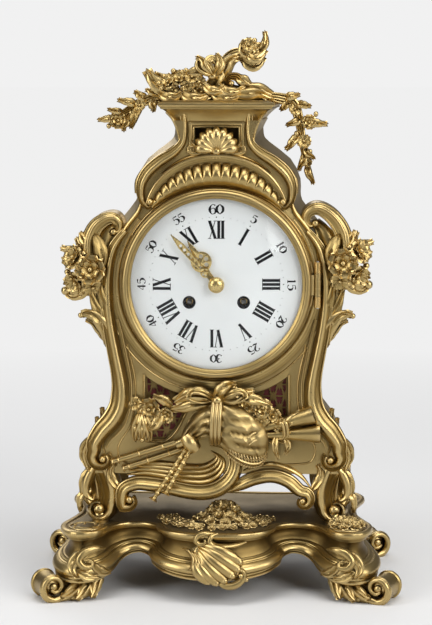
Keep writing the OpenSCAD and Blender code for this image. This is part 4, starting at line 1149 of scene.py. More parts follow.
@dataclass
class Platform:
    """The footed platform: a shaped top with a moulded skirt, and the ornament laid on it."""

    half: Tuple[Triple, ...] = ((0, -91, 20), (22, -89.5, 21), (40, -81, 24), (50, -69, 28), (54, -56, 32),
        (66, -48, 35), (80, -48, 33), (91, -56, 28), (98, -70, 22), (106, -81, 18), (118, -86, 16),
        (130, -81, 16), (137, -67, 18), (138, -50, 22), (132, -30, 28), (127, -10, 32), (127, 14, 32),
        (132, 36, 28), (137, 55, 22), (136, 72, 18), (128, 84, 16), (114, 89, 18), (98, 86, 24),
        (60, 82, 31), (0, 86, 32))
    section: Tuple[Pair, ...] = ((3.2, 1), (5.4, 0.99), (6.4, 0.97), (6.4, 0.945), (5.6, 0.925), (4.4, 0.92),
        (4.2, 0.9), (6.6, 0.89), (6.8, 0.865), (6.2, 0.855), (8.0, 0.83), (8.6, 0.79), (8.2, 0.74),
        (6.8, 0.69), (4.8, 0.655), (3.4, 0.64), (3.2, 0.622), (1.6, 0.616), (1.2, 0.595), (-0.6, 0.575),
        (-1.2, 0.56), (-2.8, 0.555), (-3.2, 0.53), (-4.8, 0.47), (-6.2, 0.4), (-6.8, 0.33), (-6.4, 0.27),
        (-5.4, 0.225), (-4.8, 0.205), (-3.4, 0.2), (-3.2, 0.175), (-2.6, 0.145), (-1.2, 0.14), (-1.0, 0.115),
        (0.4, 0.11), (1.0, 0.085), (1.1, 0.055), (0.6, 0.02), (-0.8, 0.0), (-2.2, -0.004), (-3.2, 0.006))
    field_height: float = PLATFORM_TOP - 1.0
    outline: np.ndarray = field(init=False)

    def __post_init__(self) -> None:
        """Works out the smooth outline from its right half."""
        right = eased(self.half, np.linspace(0, 1, (len(self.half) - 1) * 6 + 1))
        left = right[-2:0:-1] * (-1, 1, 1)
        self.outline = np.concatenate([right, left])

    def ring(self, out: float, share: float) -> np.ndarray:
        """Gives one line round the skirt.

        Args:
            out: Its distance outside the rim.
            share: Its share of the height below the rim.

        Returns:
            Its points.
        """
        flat = self.outline[:, :2] + out * outward(self.outline[:, :2])
        z = PLATFORM_TOP - share * (PLATFORM_TOP - self.outline[:, 2])
        return np.column_stack([flat, z])

    def level(self, out: float, z: float) -> np.ndarray:
        """Gives one level line round the top, a distance out of the rim and at height z."""
        flat = self.outline[:, :2] + out * outward(self.outline[:, :2])
        return np.column_stack([flat, np.full(len(flat), z)])

    def body(self) -> None:
        """Casts the skirt, its rims and the hollow underneath."""
        rings = [self.level(-12, self.field_height - 5), self.ring(-8, 0.4), self.ring(1.4, 0.98)]
        rings += [self.ring(d, s) for d, s in self.section]
        rings += [self.level(-3.8, 61.6), self.level(-4.3, 60.9), self.level(-5.4, 60.6),
                  self.level(-6.2, 61.0), self.level(-7.4, 60.9)]
        # Painted shade: the relief falls on the rings that lie further in, so the coves and the underside of
        # the skirt are darkened.
        relief = [0.1, 0.1, 0.4] + [min(1.0, max(0.1, (d + 6.5) / 12.0)) for d, _ in self.section]
        relief += [0.6, 0.2, 0.2, 0.7, 0.5]
        Casting().add(FOUNDRY.drawn(rings, relief)).build("platform_body", "base_platform", angle=34.0)
        # The sunken field gets a low relief too, so shade is painted on it.
        field_plate = FOUNDRY.drawn([self.level(-7.3, 60.4), self.level(-7.3, self.field_height + 0.05)],
            (0.3, 0.3))
        Casting().add(field_plate).build("platform_field", "base_platform", finish=Finish.DARK)

    def relief(self) -> None:
        """Lays the ornament on the top."""
        c = Casting()
        self.bouquet(c, self.field_height)
        self.rim_flowers(c, self.field_height)
        self.side_lobes(c, self.field_height)
        c.build("platform_relief", "base_platform", finish=Finish.SATIN)

    def bouquet(self, c: Casting, z: float) -> None:
        """Heaps the bouquet on the middle lobe.

        Args:
            c: The casting that it is part of.
            z: The height of the field.
        """
        c.add(FOUNDRY.ball((6, -40, z + 1.0), (20, 15, 11)))
        for k, (x, y, h, r) in enumerate(((6, -42, 13.4, 7.4), (-4, -45, 10.4, 6.2), (16, -44, 10.6, 6.4),
                (2, -51, 8.0, 6.2), (12, -52, 7.4, 5.8), (-12, -49, 6.4, 5.4), (24, -48, 6.2, 5.4),
                (-5, -56, 4.4, 5.0), (20, -56, 4.0, 5.0), (8, -59, 3.6, 5.0), (-18, -44, 4.0, 4.6),
                (30, -43, 4.0, 4.4), (0, -36, 12.6, 6.0), (12, -36, 12.6, 6.0))):
            c.add(FOUNDRY.flower((x, y, z + h), r, up=58.0 - 1.6 * h, side=2.0 * (x - 6), spin=53.0 * k,
                double=r > 6))

    def rim_flowers(self, c: Casting, z: float) -> None:
        """Rows small flowers and leaves round the middle lobe.

        Args:
            c: The casting that they are part of.
            z: The height of the field.
        """
        rows = ((-51, -33), (-48, -42), (-44, -50), (-38, -57), (-31, -63), (-23, -68), (-14, -72),
                (-4, -74), (6, -74.5), (16, -72.5), (26, -68), (34, -62), (41, -55), (46, -46), (49, -37))
        for k, (x, y) in enumerate(rows):
            for inset, r in ((0.0, 3.6), (7.6, 3.2), (14.4, 2.8)):
                if inset > 8 and abs(x) < 30:
                    continue
                s = 1.0 - inset / max(30.0, math.hypot(x, y))
                spot = (x * s + 1.2 * math.sin(9.0 * k + inset), y * s + 1.0 * math.cos(7.0 * k + inset),
                        z + 1.8)
                c.add(FOUNDRY.flower(spot, r, up=62.0 + 9 * math.sin(5.0 * k + inset),
                    side=14 * math.sin(3.0 * k), spin=40.0 * k + inset, double=False))
                c.add(FOUNDRY.ball((spot[0] + 2.8, spot[1] + 2.8, z + 0.9), 1.4, 1))
        for path, w in ((((-10, -62), (-22, -61), (-34, -54), (-42, -44)), 4.4),
                (((22, -62), (32, -56), (39, -46)), 4.2), (((-2, -66), (8, -68), (18, -65)), 3.6),
                (((-20, -50), (-30, -46), (-38, -38)), 4.0), (((30, -50), (36, -43), (40, -35)), 3.6)):
            c.add(FOUNDRY.leaf([(x, y, z + 0.8) for x, y in path], w, 2.6, face=(0, -0.3, 1), lobes=3))

    def side_lobes(self, c: Casting, z: float) -> None:
        """Sets flowers on the right lobe, buds on the left one, and a hoop and a leaf on both.

        Args:
            c: The casting that they are part of.
            z: The height of the field.
        """
        lobe_x, lobe_y = 116, -62
        for side in (-1, 1):
            for k in range(7):
                a = math.tau * k / 7
                x, y = side * lobe_x + 11.5 * math.cos(a), lobe_y + 11.5 * math.sin(a)
                if side > 0:
                    c.add(FOUNDRY.flower((x, y, z + 3.2), 5.2 - 0.5 * (k % 3), up=56.0,
                        side=10.0 * math.cos(a), spin=33.0 * k))
                    inner = (0.5 * (x + lobe_x), 0.5 * (y + lobe_y), z + 6.4)
                    c.add(FOUNDRY.flower(inner, 4.4, up=60.0, spin=50.0 * k, double=False))
                else:
                    c.add(FOUNDRY.ball((x, y, z + 0.4), 1.7, 1))
            turns = [math.tau * k / 12 for k in range(13)]
            hoop = [(side * lobe_x + 15 * math.cos(a), lobe_y + 15 * math.sin(a), z) for a in turns]
            c.add(FOUNDRY.bar(Moulding.ROUND, hoop, (1.0,), (1.2,), face=(0, 0, 1), steps=36))
            c.add(FOUNDRY.leaf([(side * 104, -66, z), (side * 112, -74, z + 0.3), (side * 124, -70, z)], 3.4,
                1.8, face=(0, 0, 1), lobes=3))

    def acanthus(self) -> None:
        """Lays the asymmetric leaf and scrolls over the middle of the skirt."""
        c = Casting()
        bar, leaf, ball = FOUNDRY.bar, FOUNDRY.leaf, FOUNDRY.ball
        for k in range(4):
            c.add(bar(Moulding.ROUND, [(-29 + 3 * k, -88 - 0.4 * k, 48 - k),
                (-24 + 3 * k, -91 - 0.8 * k, 47 - 1.4 * k), (-19.4 + 2.6 * k, -95 - 0.6 * k, 41.4 - 1.6 * k),
                (-20 + 2.4 * k, -97.4, 34.4 - 1.6 * k), (-23 + 2.2 * k, -97.4, 31 - 1.4 * k)],
                (0.8, 1.7, 2.0, 1.9, 1.0), (1.6, 3.4, 4.4, 4.4, 2.4), face=(0, -1, 0.2), steps=26))
        c.add(leaf([(-14, -88.6, 52), (-8, -93, 42), (2, -97, 32), (10, -97.4, 24)], 13.0, 3.4,
                   face=(0, -1, 0.3), lobes=5))
        tips = ((21, -96, 38.4), (19.4, -98.4, 32.6), (14.6, -99.6, 27.0), (8.0, -99.8, 22.6),
                (0.6, -99.4, 20.4), (-6.4, -99.2, 21.4))
        for k, tip in enumerate(tips):
            root = np.array((-13.5 - 0.8 * k, -89.6 - 0.5 * k, 52.4 - 1.7 * k))
            end = np.array(tip, float)
            swell = np.array((1.6 - 1.2 * k, -3.4, 2.6 - 0.9 * k))
            c.add(bar(Moulding.ROUND, [root, root * 0.62 + end * 0.38 + swell,
                root * 0.25 + end * 0.75 + swell * 0.7, end], (1.4, 3.4, 4.6, 3.8), (2.4, 3.8, 4.2, 3.0),
                face=(0, -1, 0.3), steps=26))
            c.add(ball(end + (0.4, -0.6, -0.4), 3.2 - 0.1 * abs(k - 2)))
        c.add(bar(Moulding.BAND, [(2, -98.4, 20), (10, -99.6, 17.6), (18, -99.4, 18.8), (24.5, -98, 24),
            (25, -97.2, 30), (21, -97.6, 31), (19.4, -98.2, 27.6)], (1.6, 2.8, 3.4, 3.2, 2.4, 1.8, 1.0),
            (2, 3.4, 4.4, 4.4, 3.8, 3.6, 3)))
        c.add(ball((22.4, -100, 26.6), 2.4), ball((27.2, -97.4, 22.6), 2.2), ball((9, -100.6, 17.4), 2.2))
        c.add(bar(Moulding.BAND, [(-1, -89.6, 61.6), (-9, -91.4, 62.4), (-15, -92, 60.6), (-17, -92.4, 56.4),
            (-13.6, -92.6, 53), (-9, -92.6, 54.4), (-9.4, -92.4, 57.4)], (1.4, 2.2, 2.6, 2.6, 2.2, 1.8, 1.0),
            (2, 3, 3.4, 3.6, 3.4, 3.2, 2.6)))
        c.add(bar(Moulding.BAND, [(1.6, -89.6, 62), (-3.4, -92, 60), (-4.8, -93, 55.4), (0, -92, 51.6),
            (9, -89.6, 50.4), (19, -88, 51.6), (27, -86, 53.6)], (1.0, 2.0, 2.6, 2.6, 2.2, 1.6, 0.6),
            (2, 3.2, 4.2, 4.8, 4.4, 3, 1)))
        c.build("skirt_leaf", "skirt_shell")

    def corners(self) -> None:
        """Lays the curled leaves on the bulge above each front foot."""
        c = Casting()
        c.both(FOUNDRY.bar(Moulding.BAND, [(98, -80, 46), (106, -86, 47), (115, -89, 44), (119.6, -91.4, 38),
            (115.4, -92.8, 32.6), (109, -91.4, 32.6), (108.2, -90.2, 36.6), (111.6, -90, 38.4)],
            (0.8, 2.4, 3.6, 4.2, 3.8, 3.0, 2.0, 1.0), (1, 3, 4.4, 5, 4.8, 4.4, 4, 3)))
        for path, w, d, lean in (
                ([(117, -88, 45), (124, -91, 38), (126, -93, 30), (121, -94.5, 24)], 5.0, 3.2, 0.2),
                ([(108, -90, 35), (104, -88.6, 29), (98, -84, 25), (94, -78, 25)], 4.6, 3.0, -0.3),
                ([(121, -92, 28), (112, -94.4, 23), (103, -91, 22)], 4.2, 2.8, 0)):
            c.both(FOUNDRY.leaf(path, w, d, face=(lean, -1, 0.2), lobes=3))
        c.build("skirt_curls", "skirt_shell")

    def build(self) -> None:
        """Builds the whole platform."""
        self.body()
        self.relief()
        self.acanthus()
        self.corners()


@dataclass
class Foot:
    """A foot that rolls up into a volute at the toe, with lobes beside it and a leaf at the heel."""

    reach: Triple = (120.6, -68.6, -4.9)
    rear_reach: float = 7.9
    turn: float = 24.0

    def shape(self) -> Shape:
        """Models the foot along X with its sole at the ground.

        Returns:
            The foot.
        """
        path = [(-16, 27), (-8, 19), (2, 12), (14, 8.2), *volute(29, 18.6, 12.6, 3.4, -125, 330)]
        bar, leaf, ball = FOUNDRY.bar, FOUNDRY.leaf, FOUNDRY.ball
        parts = [bar(Moulding.RIM, path, (9, 11.5, 13.6, 15, 15, 14.4, 13.4, 12.4), (5.0, 4.6, 3.4, 2.0),
                     y=0.0, steps=64, axle=(0, 1, 0))]
        for s in (-1, 1):
            edge = [(x, s * (9 + 5.0 * min(1.0, k / 4)), z) for k, (x, z) in enumerate(path)]
            parts.append(FOUNDRY.rod(edge, (2.6, 3.0, 2.9, 2.3, 1.6), steps=60))
            parts.append(ball((29, s * 8.2, 18.4), (8.6, 3.2, 8.6)))
            parts.append(ball((29.4, s * 12.2, 18.2), (3.9, 2.6, 3.9)))
            for k, (a, w) in enumerate(((0, 4.0), (9, 3.8))):
                parts.append(bar(Moulding.ROUND, [(-13 + a, s * 8, 25 - 0.6 * a),
                    (-7 + a, s * 13, 17 - 0.5 * a), (0 + a, s * 15.4, 11 - 0.2 * a),
                    (6 + a * 0.9, s * 15, 7.4)], (w * 0.6, w, w * 1.1, w * 0.7), (2, 3.6, 3.8, 2.0),
                    face=(-0.3, s, -0.1), steps=16))
            for line, w in (([(-14, s * 9, 29), (-9, s * 15, 20), (-5, s * 18.4, 11), (-2, s * 19.4, 7)],
                    6.4), ([(-4, s * 10, 23), (2, s * 15.6, 16), (8, s * 18.4, 9.6), (12, s * 18.8, 7)],
                    6.0), ([(6, s * 11, 19), (13, s * 15.6, 15), (20, s * 16.8, 11), (25, s * 16.6, 10)],
                    5.0)):
                parts.append(leaf(line, w, 4.2, face=(0.1, s, 0.5), lobes=2))
        parts.append(leaf([(-17, 0, 31), (-6, 0, 25), (5, 0, 19), (15, 0, 14.6)], 8.6, 3.4, face=(0.5, 0, 1),
            lobes=4))
        return gathered(parts)

    def build(self) -> None:
        """Casts the four feet, each with its own mesh."""
        blank = self.shape()
        x, y, z = self.reach
        sole = np.maximum(blank.points[:, 2], -z)
        flat = Shape(np.column_stack([blank.points[:, :2], sole]), blank.faces, blank.relief)
        front = flat.placed((x, y, z), 1.0, (0, 0, -self.turn))
        rear = flat.placed((x, y - self.rear_reach, z), 1.0, (0, 0, -self.turn)).mirrored(1)
        cast_corners("foot", front, rear)


@dataclass
class Leg:
    """A leg of concentric scrolls that curls outwards on the platform under a leafy knee."""

    front: float = -42.0
    rear: float = 48.0

    def shape(self) -> Shape:
        """Models the right front leg about its own middle plane.

        Returns:
            The leg.
        """
        path = [(107, 121), (103, 112), (99, 103), (96, 93), (95.4, 84), (97, 76),
                *volute(106.5, 74.5, 9.0, 4, 190, 470, 7)]
        bar, leaf, ball = FOUNDRY.bar, FOUNDRY.leaf, FOUNDRY.ball
        parts = [bar(Moulding.WAVE, path, (8.6, 9.6, 10.4, 10.4, 9.8, 8.6, 7.0, 5.4, 3.8),
                     (17, 18, 18.8, 18.6, 18, 16, 14), y=8.6, steps=64)]
        parts.append(bar(Moulding.ROUND, [(110, 120), (110, 108), (108.6, 96), (107, 84), (106, 72)],
                         (7, 9, 9.4, 9, 7), (15, 16, 16, 15, 13), y=13.0, steps=24))
        parts.append(bar(Moulding.ROUND, [(104, 117), (112, 108), (117.4, 97), (118, 86), (112, 76),
            (106, 71)], (4.6, 6.0, 6.0, 5.4, 4.4, 2.6), (12, 12.4, 12.4, 12, 11, 9), y=6.6, steps=30))
        for y, out in ((-7, 0.0), (1, 1.4), (7, 0.4)):
            parts.append(leaf([(108, y, 112), (117, y * 1.1, 104 + out), (119.6 + out, y, 95),
                (118.6, y, 86)], 5.6, 3.6, face=(0.8, -0.6 if y < 0 else 0.0, 0.4), lobes=4))
            parts.append(leaf([(112, y, 90), (120.6, y * 1.1, 86 + out), (122 + out, y, 79), (121, y, 72)],
                5.0, 3.4, face=(0.8, -0.5 if y < 0 else 0.0, 0.5), lobes=3))
        parts.append(bar(Moulding.ROUND, [(106, -8, 117), (113, -9, 108), (117, -10, 97), (116, -10, 88),
            (111, -9, 84), (109, -8, 88)], (1.8, 3.2, 3.8, 3.4, 2.6, 1.4), (4.8,), y=0, steps=36))
        parts.append(ball((105.6, -7.8, 74.4), (4.8, 4.2, 4.8)))
        parts.append(FOUNDRY.rod([(105, 0, 61), (105, 0, 64), (105, 0, 70)], (7.6, 7.6, 6.2), steps=6))
        return gathered(parts)

    def build(self) -> None:
        """Casts the four legs, each with its own mesh."""
        blank = self.shape()
        cast_corners("leg", blank.placed((0, self.front, 0)), blank.mirrored(1).placed((0, self.rear, 0)))


@dataclass
class Case:
    """The waisted case: its walls, mouldings, hood, shell, cornice, aprons and side scrolls."""

    arch_inner: float = 86.6
    arch_outer: float = 107.0
    arch_drop: float = 14.6
    arch_half: float = 38.0
    hood_half: float = 40.0
    hood_step: float = 0.4
    flute: float = 4.8
    flute_depth: float = 2.4
    dial_moulding: float = 91.0
    outer_moulding: float = 98.0
    splay: float = 7.6
    edge_ease: float = 0.6
    bulge_levels: Values = (95, 150, 172, 196, 226)
    bulge_draws: Values = (14.0, 14.0, 11.0, 5.0, 0.0)

    def arch(self, degrees: float) -> float:
        """Gives the radius of the hood's outer edge in a direction from upright."""
        return self.arch_outer - self.arch_drop * (abs(degrees) / self.arch_half) ** 2.3

    def about_dial(self, r: float, degrees: float) -> Pair:
        """Gives a place in the front view, by its radius and direction from the dial's top."""
        a = math.radians(degrees)
        return r * math.sin(a), DIAL_HEIGHT + r * math.cos(a)

    def shell(self) -> None:
        """Carries over the sheets of the case with eased edges."""
        for node, finish in (("case_front", Finish.GROUND), ("case_walls", Finish.SATIN),
                ("case_back", Finish.SATIN), ("rear_apron", Finish.SATIN)):
            piece = Wardrobe.copy(node, self.edge_ease)
            if node in ("case_walls", "case_back"):
                self.slim(piece)
            Wardrobe.dress(piece, node, finish=finish, angle=28.0 if node == "case_front" else 12.0)

    def slim(self, piece: bpy.types.Object) -> None:
        """Draws the back of the case in where its sides bulge.

        Args:
            piece: A sheet of the case.
        """
        for v in piece.data.vertices:
            x, y, z = v.co / MM
            back = min(1.0, max(0.0, (y - FRONT - 5) / (BACK - FRONT - 5)))
            draw = float(np.interp(z, self.bulge_levels, self.bulge_draws))
            side = min(1.0, max(0.0, (abs(x) - 66) / 20))
            v.co.x -= math.copysign(draw * back * side, x) * MM

    def cavetto(self) -> None:
        """Hollows the cap of the neck out to the stepped cornice."""
        rings = []
        for z, out, front in ((420.8, 35.8, 50.6), (422.4, 37.0, 51.2), (424, 38.2, 52.0), (427, 41.2, 54.0),
                (429.6, 44.4, 56.6), (431.4, 46.8, 58.6), (431.6, 48.4, 59.8), (433.4, 48.6, 60.0),
                (433.7, 50.0, 61.0), (435.0, 51.0, 61.9), (436.6, 50.8, 61.7), (437.4, 49.8, 60.8),
                (437.8, 47.6, 59.0), (438.6, 46.6, 58.0), (439.2, 43.0, 55.0)):
            back = BACK + max(0.0, (front - 50.4) * 0.3) + 0.4
            wide = out + self.splay
            rings.append(np.array([(-30, -front, z), (30, -front, z), (out - 0.5, -front, z),
                (out, -front + 0.5, z), ((out + wide) / 2, (back - front) / 2, z), (wide, back, z),
                (0, back, z), (-wide, back, z), (-(out + wide) / 2, (back - front) / 2, z),
                (-out, -front + 0.5, z), (-out + 0.5, -front, z)]))
        # Painted shade: rings in the hollow and on the steps get a lower relief, so the gilding darkens them.
        Casting().add(FOUNDRY.drawn(rings, (0.6, 0.6, 0.6, 0.6, 0.7, 0.9, 0.5, 0.9, 1, 1, 0.9, 0.4, 0.6, 0.5,
            0.4))).build("cornice_cap", "cornice", angle=32.0)

    def neck_walls(self) -> None:
        """Fills the sides of the neck under the cap and rolls their front edges."""
        sides = []
        for z, out in ((402, 31.6), (406, 31.7), (410, 32.4), (414, 33.8), (418, 35.8), (421.6, 37.8)):
            wide = out + self.splay
            sides.append(np.array([(28.6, FRONT - 4.4, z), (out - 0.5, FRONT - 4.4, z),
                (out, FRONT - 3.6, z), ((out + wide) / 2, 4, z), (wide, BACK + 0.4, z),
                (28.6, BACK + 0.4, z)]))
        Casting().both(FOUNDRY.drawn(sides, (0.6,) * 6)).build("neck_sides", "cornice", angle=32.0)
        edge = [(32.6, 403), (33.2, 410), (35.2, 417), (38.4, 423.6), (43.6, 429.4)]
        Casting().both(FOUNDRY.bar(Moulding.ROUND, edge, (1.0, 1.5, 1.7, 1.8), (2.0, 2.6, 4.6, 7.4),
            steps=24)).build("neck_edges", "case_front")

    def mouldings(self) -> None:
        """Frames the panels of the front with stepped lines."""
        c = Casting()
        bar = FOUNDRY.bar
        inner = [(88.5, 246), (86, 236), (82, 216), (78.5, 198), (77.3, 184), (78.5, 168), (83, 153),
                 (90, 144), (96, 138), (99, 131)]
        c.both(bar(Moulding.STEPS, inner[::-1], (2.0, 2.6, 2.8, 2.8, 2.8, 2.8, 2.8, 2.4),
                   (3.4, 4, 4.4, 4.4, 4, 3.4), steps=60))
        line = [(79, 224), (77, 214), (73.5, 198), (72, 184), (73, 167), (77, 150), (84, 139), (88, 130),
                (86, 121), (80, 117), (60, 115.6)]
        c.both(bar(Moulding.ROUND, line, (0.9,), (1.5,), steps=60))
        ring = [self.about_dial(self.dial_moulding, a) for a in range(50, 311, 5)]
        c.add(bar(Moulding.STEPS, ring[::-1], (5.0,), (3.2,), steps=96))
        ring = [self.about_dial(self.outer_moulding, a) for a in range(112, 249, 8)]
        c.add(bar(Moulding.ROUND, ring, (0.9,), (1.4,), steps=64))
        for s in (-1, 1):
            frame_line = [(s * 64.4, 197), (s * 64.4, 176), (s * 64.6, 154), (s * 63.4, 137.6),
                          (s * 55, 136.4), (s * 45, 136.8), (s * 35.4, 146.6), (s * 29, 159), (s * 22, 172)]
            c.add(bar(Moulding.ROUND, frame_line if s > 0 else frame_line[::-1], (1.2,), (2.0,), steps=48))
        for kind, half, high, lines in ((Moulding.BAND, 1.9, 2.4, ((-23, 394, -23, 420), (23, 420, 23, 394),
                (-24.4, 419, 24.4, 419))), (Moulding.ROUND, 0.8, 1.2, ((-20.4, 394, -20.4, 416),
                (20.4, 416, 20.4, 394), (-20.4, 416, 20.4, 416)))):
            for x0, z0, x1, z1 in lines:
                path = [(x0, z0), ((x0 + x1) / 2, (z0 + z1) / 2), (x1, z1)]
                c.add(bar(kind, path, (half,), (high,), steps=8))
        c.build("case_mouldings", "case_front")

    def hood(self) -> None:
        """Swells the fluted hood over the dial between its rims."""
        c = Casting()
        bar = FOUNDRY.bar
        rings, relief = [], []
        for a in np.arange(-self.hood_half, self.hood_half + 0.01, self.hood_step):
            u = 2.0 * abs(a / self.flute - round(a / self.flute))
            lobe = math.sqrt(max(0.0, 1 - u**2.4))
            fade = math.cos(math.radians(a * 2.1)) ** 0.6
            out = self.arch(a) - self.flute_depth * (1 - lobe) * fade
            ring = [(self.arch_inner, 0.0)]
            for s in np.linspace(0, 1, 13):
                dome = 1.4 + 8.6 * fade * math.sin(math.pi * min(1.0, 0.08 + 0.9 * s)) ** 0.75
                cut = 2.8 * fade * (1 - lobe) * min(1.0, max(0.0, (s - 0.3) / 0.35))
                ring.append((self.arch_inner + (out - self.arch_inner) * s, max(0.6, dome - cut)))
            ring.append((out, 0.0))
            rings.append(np.array([(x, FRONT - h, z) for (x, z), h in ((self.about_dial(r, a), h) for r,
                h in ring)]))
            # Painted shade: the relief drops in the cut valleys between the flutes, so the gilding darkens
            # them.
            relief += [0.3] + [0.95 - 0.9 * (1 - lobe) * min(1.0, max(0.0, (s - 0.15) / 0.3))
                for s in np.linspace(0, 1, 13)] + [0.2]
        made = FOUNDRY.drawn(rings[::-1])
        flat = np.array(relief).reshape(len(rings), -1)[::-1].ravel()
        c.add(Shape(made.points, made.faces, flat))
        rim = [self.about_dial(self.arch(a) + 3.2, a) for a in range(-41, 42, 4)]
        c.add(bar(Moulding.STEPS, rim, (1.6, 3.4, 4.2, 4.4, 4.2, 3.4, 1.6), (5.6,), steps=84))
        rim = [self.about_dial(self.arch(a) + 8.2, a) for a in range(-26, 27, 4)]
        c.add(bar(Moulding.ROUND, rim, (0.5, 1.4, 1.6, 1.4, 0.5), (3.4,), steps=60))
        rim = [self.about_dial(self.arch_inner - 0.6, a) for a in range(-60, 61, 5)]
        c.add(bar(Moulding.ROUND, rim, (1.3,), (3.2,), steps=72))
        flare = [(29.4, 429.6), (28.4, 420), (28.4, 410), (30.6, 401.4), (38, 393.6), (50, 386), (61, 376),
                 (66.4, 364.6), (65.6, 352), (60, 345.6), (55.8, 349), (57.8, 353.4)]
        c.both(bar(Moulding.WAVE, flare, (3.0, 3.0, 3.1, 3.8, 4.6, 5.2, 5.4, 5.2, 4.4, 3.2, 2.0, 1.0),
                   (4.4, 4.8, 5.4, 6.4, 7.2, 7.6, 7.4, 6.6, 5.6, 4.8), steps=84))
        flare = [(37, 400.4), (47, 393), (60, 383.6), (70, 370), (71, 358)]
        c.both(bar(Moulding.ROUND, flare, (0.6, 1.3, 1.5, 1.4, 1.0), (3.4,), steps=40))
        for s in (-1, 1):
            c.add(FOUNDRY.ball((s * 58.4, FRONT - 3.6, 350.4), (3.0, 3.4, 3.2)))
            c.add(bar(Moulding.ROUND, [(s * 66, FRONT, 352), (s * 69, FRONT, 342), (s * 77.4, FRONT, 331),
                (s * 84.6, FRONT, 321)], (1.4, 2.2, 2.2, 1.6), (3.4,), steps=24))
        c.build("hood_flutes", "fluted_hood")

    def neck(self) -> None:
        """Sets the shell and its small leaves before the opening of the neck."""
        c = Casting()
        c.add(FOUNDRY.scallop((0, FRONT + 0.6, 394.4), 21, 8.5, ribs=9, spread=80))
        c.add(FOUNDRY.ball((0, FRONT - 3, 394.6), (4.6, 3.4, 3.4)))
        for s in (-1, 1):
            c.add(FOUNDRY.bar(Moulding.BAND, [(s * 4, 391.6), (s * 12, 393.4), (s * 19, 392.4),
                (s * 24.6, 394.6), (s * 24, 399), (s * 20, 398.6)], (1.0, 2.0, 2.2, 2.0, 1.6, 0.8),
                (3.4, 4, 4, 3.6, 3.2, 2.6)))
            c.add(FOUNDRY.leaf([(s * 3, 389.6), (s * 13, 388.8), (s * 24, 386)], 3.2, 2.8, lobes=3))
            c.add(FOUNDRY.leaf([(s * 8, 394.6), (s * 17, 397.4), (s * 22.5, 404)], 2.8, 3.0, lobes=3))
        c.add(FOUNDRY.beads([(-14, FRONT - 1.6, 391), (0, FRONT - 3, 389), (14, FRONT - 1.6, 391)], 1.4, 11))
        c.build("neck_scallop", "neck_shell")

    def side_scroll(self) -> Shape:
        """Models the long scroll up the right side.

        Returns:
            The scroll.
        """
        path = [(80, 325), (86.5, 317.5), (92, 308), (95.5, 295), (97.3, 277), (96.8, 256), (94.2, 236),
                (90.5, 216), (87, 198), (85.5, 184), (87, 169), (93, 157), (102, 147), (109, 136),
                *volute(101.5, 122, 10.5, 4.5, 40, -215, 8)]
        inside = [(88.5, 305), (91.4, 293), (92.6, 277), (92, 256), (89.6, 236), (86, 216), (82.4, 198),
                  (80.8, 184), (82, 168), (87.4, 153.6), (95.6, 143.6), (101.4, 134), (100, 126)]
        bar = FOUNDRY.bar
        parts = [bar(Moulding.WAVE, path, (3.2, 4.6, 5.4, 5.8, 6.0, 6.2, 6.8, 8.4, 9.2, 7.6, 5.0, 3.0),
                     (5, 7, 8, 8.6, 9, 9.6, 10.6, 11.8, 12.4, 11.6, 10, 8), steps=120)]
        parts.append(bar(Moulding.ROUND, inside, (0.8, 1.2, 1.3, 1.4, 1.5, 1.4, 1.0),
            (3.4, 4, 4.4, 4.6, 4.6, 4.2, 3.4), steps=70))
        parts.append(FOUNDRY.ball((101.4, FRONT - 5.4, 121.0), (3.4, 5.0, 3.4)))
        for path, w in (([(93, -40, 147), (100.6, -38, 155), (102.6, -36, 165)], 4.4),
                        ([(97, -38, 143), (105.6, -36, 148), (107.6, -34, 156)], 3.8)):
            parts.append(FOUNDRY.leaf(path, w, 3.4, face=(0.5, -1, 0.1), lobes=3))
        parts.append(FOUNDRY.leaf([(109, FRONT - 3, 142), (117, FRONT - 3, 134), (119, FRONT - 3, 123),
            (113, FRONT - 3, 110)], 3.6, 3.4, face=(0.5, -1, 0), lobes=4))
        return gathered(parts)

    def scrolls(self) -> None:
        """Casts both side scrolls."""
        made = self.side_scroll()
        Casting().add(made).build("right_scroll", "right_frame_scroll")
        Casting().add(made.mirrored()).build("left_scroll", "left_frame_scroll")

    def apron(self) -> None:
        """Rolls the broad scroll and the open arch at the foot of the front."""
        c = Casting()
        bar = FOUNDRY.bar
        roll = [*volute(-78, 84, 3.4, 8.6, 40, -140, 6), (-83, 93), (-72, 98.6), (-58, 98), (-42, 95.4),
                (-26, 92), (-12, 91), (0, 93.6), (9, 99.6), (15, 108), (17, 118), (13.6, 127.6), (5, 133.6),
                (-6, 134)]
        c.add(bar(Moulding.WAVE, roll, (2.2, 4.2, 6.0, 6.6, 7.0, 7.2, 7.4, 7.6, 7.6, 7.0, 6.0, 4.2, 1.8),
                  (6, 8, 9.4, 10, 10.4, 10.6, 10.6, 10.4, 10, 8.6, 7, 5, 3), steps=110))
        for k, (lift, end) in enumerate(((0.0, 0), (5.0, 1), (9.6, 2), (14.0, 3))):
            ridge = [(-80 + 2 * k, 106 + 0.8 * lift), (-64, 107.4 + 0.7 * lift), (-46, 105.4 + 0.75 * lift),
                     (-28, 101.6 + 0.85 * lift), (-12, 100.6 + 0.95 * lift), (-1 - 0.6 * end, 104.4 + lift),
                     (5.4 - 1.6 * end, 111.6 + 0.8 * lift), (6.4 - 2.4 * end, 119.4 + 0.4 * lift),
                     (1 - 2 * end, 125 + 0.2 * lift)]
            c.add(bar(Moulding.ROUND, ridge, (0.8, 2.2, 2.8, 3.0, 3.0, 3.0, 2.6, 2.0, 0.8),
                      (1.4, 3.4, 5.0, 6.4 - 0.6 * k, 7.4 - 0.8 * k, 7.4 - 0.8 * k, 6, 4, 1.6), steps=60))
